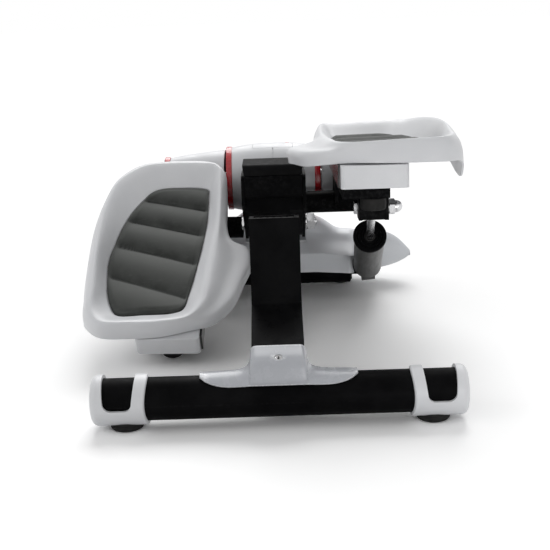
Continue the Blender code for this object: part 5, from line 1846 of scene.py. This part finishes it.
@dataclass
class Studio(Part):
    """Camera, lamps, floor and white surroundings.

    Attributes:
        eye: Where the camera stands.
        azimuth: Its direction round the machine.
        elevation: Its height over the horizon.
        roll: Its roll.
        lens: Focal length on a 36 mm frame.
        ambient: The surroundings' light.
        sun: The key light's strength.
        sun_spread: Its softness.
        sun_from: Where it comes from.
        paper: The floor's tone in light.
        paper_seen: The floor's tone to look at.
        lamps: Name, place, aim, size, watts and spread in degrees, in metres.
    """

    eye: Spot = (5.12, -1079.56, 487.47)
    azimuth: float = radians(0.29)
    elevation: float = radians(16.72)
    roll: float = radians(1.95)
    lens: float = 72.0
    ambient: float = 0.48
    sun: float = 1.75
    sun_spread: float = radians(42)
    sun_from: Spot = (0.12, 1.3, 1.25)
    paper: float = 0.8
    paper_seen: float = 1.2
    lamps: Sequence[tuple[str, Spot, Spot, Flat, float, float]] = (
        ("left_fill", (-1.30, -0.70, 0.95), (0.0, 0.0, 0.12), (1.0, 1.0), 3.0, 180),
        ("right_fill", (1.05, -1.25, 0.42), (0.0, 0.45, 0.10), (0.9, 0.5), 0.8, 180),
        ("low_fill", (0.45, -1.25, 0.16), (0.08, 0.47, 0.07), (0.5, 0.2), 0.14, 40),
    )

    def build(self) -> None:
        """Sets the camera, the surroundings, the floor and the lamps."""
        self.camera()
        self.surroundings()
        self.floor()
        self.light()

    def camera(self) -> None:
        """Places the camera as the photograph's stood, a little rolled."""
        a, e, r = self.azimuth, self.elevation, self.roll
        back = Vector((sin(a) * cos(e), -cos(a) * cos(e), sin(e)))
        right = Vector((cos(a), sin(a), 0))
        up = back.cross(right)
        right, up = right * cos(r) - up * sin(r), right * sin(r) + up * cos(r)
        data = bpy.data.cameras.new("photo_camera")
        data.sensor_width, data.sensor_height, data.lens = 36.0, 36.0, self.lens
        data.sensor_fit = "HORIZONTAL"
        data.clip_start, data.clip_end = 0.05, 50.0
        camera = stand("photo_camera", data)
        turn = Matrix((right, up, back)).transposed().to_4x4()
        camera.matrix_world = Matrix.Translation((Vector(self.eye) + self.bench.shift) * MM) @ turn
        bpy.context.scene.camera = camera
        bpy.context.scene.view_settings.view_transform = "Standard"

    @staticmethod
    def seen(nodes: NodeBench, unseen: float, seen: float) -> Socket:
        """One value for camera, glossy and transmission rays, another as a light.

        Args:
            nodes: The tree.
            unseen: The value as a light.
            seen: The value to look at.

        Returns:
            The value.
        """
        rays = nodes.add("LightPath", {}).outputs
        either = nodes.reckon("MAXIMUM", rays["Is Camera Ray"], rays["Is Glossy Ray"])
        either = nodes.reckon("MAXIMUM", either, rays["Is Transmission Ray"])
        return nodes.spread(either, 0, 1, unseen, seen)

    def surroundings(self) -> None:
        """Makes a world that is white to look at and dimmer as a light."""
        world = bpy.data.worlds.new("studio")
        world.use_nodes = True
        nodes = NodeBench(world.node_tree)
        shade = nodes.tree.nodes["Background"].inputs
        nodes.put(shade["Color"], (1, 1, 1, 1))
        nodes.put(shade["Strength"], self.seen(nodes, self.ambient, 1.0))
        bpy.context.scene.world = world

    def floor(self) -> None:
        """Makes the floor: white to look at, with the object's soft shadow on it."""
        profile = [(0, 0), (0.4, 0), (0.8, 0), (1.6, 0), (3.2, 0), (6.0, 0)]
        floor = stand("studio_floor", as_mesh("studio_floor", turned(profile)))
        material = bpy.data.materials.new("studio_floor")
        material.use_nodes = True
        nodes = NodeBench(material.node_tree)
        nodes.tree.nodes.remove(nodes.tree.nodes["Principled BSDF"])
        paper = nodes.add("BsdfDiffuse", {"Color": self.seen(nodes, self.paper, self.paper_seen)})
        nodes.put(nodes.tree.nodes["Material Output"].inputs["Surface"], paper.outputs[0])
        floor.data.materials.append(material)

    def light(self) -> None:
        """Hangs the broad key light, from behind and above, and the soft fills."""
        data = bpy.data.lights.new("key_light", "SUN")
        data.energy, data.angle = self.sun, self.sun_spread
        turn = (-Vector(self.sun_from)).to_track_quat("-Z", "Y")
        stand("key_light", data).matrix_world = turn.to_matrix().to_4x4()
        for name, at, aim, size, power, spread in self.lamps:
            data = bpy.data.lights.new(name, "AREA")
            data.shape, data.energy, data.spread = "RECTANGLE", power, radians(spread)
            data.size, data.size_y = size
            turn = (Vector(aim) - Vector(at)).to_track_quat("-Z", "Y")
            stand(name, data).matrix_world = Matrix.Translation(at) @ turn.to_matrix().to_4x4()


def main() -> None:
    """Builds the machine part by part."""
    logging.basicConfig(level=logging.INFO, format="%(message)s", stream=sys.stdout)
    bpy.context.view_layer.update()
    bench = Workbench()
    parts = [kind(bench) for kind in (RearBar, Post, FootCover, FrontBase, Fairing, Bracket, Pod)]
    for side in Side:
        parts += [kind(bench, Linkage(side)) for kind in (Arm, Pedal, Cylinder)]
    for part in (*parts, Studio(bench)):
        part.build()
        LOG.info("built %s", type(part).__name__)
    LOG.info("%d pieces", bench.count)


if __name__ == "__main__":
    main()
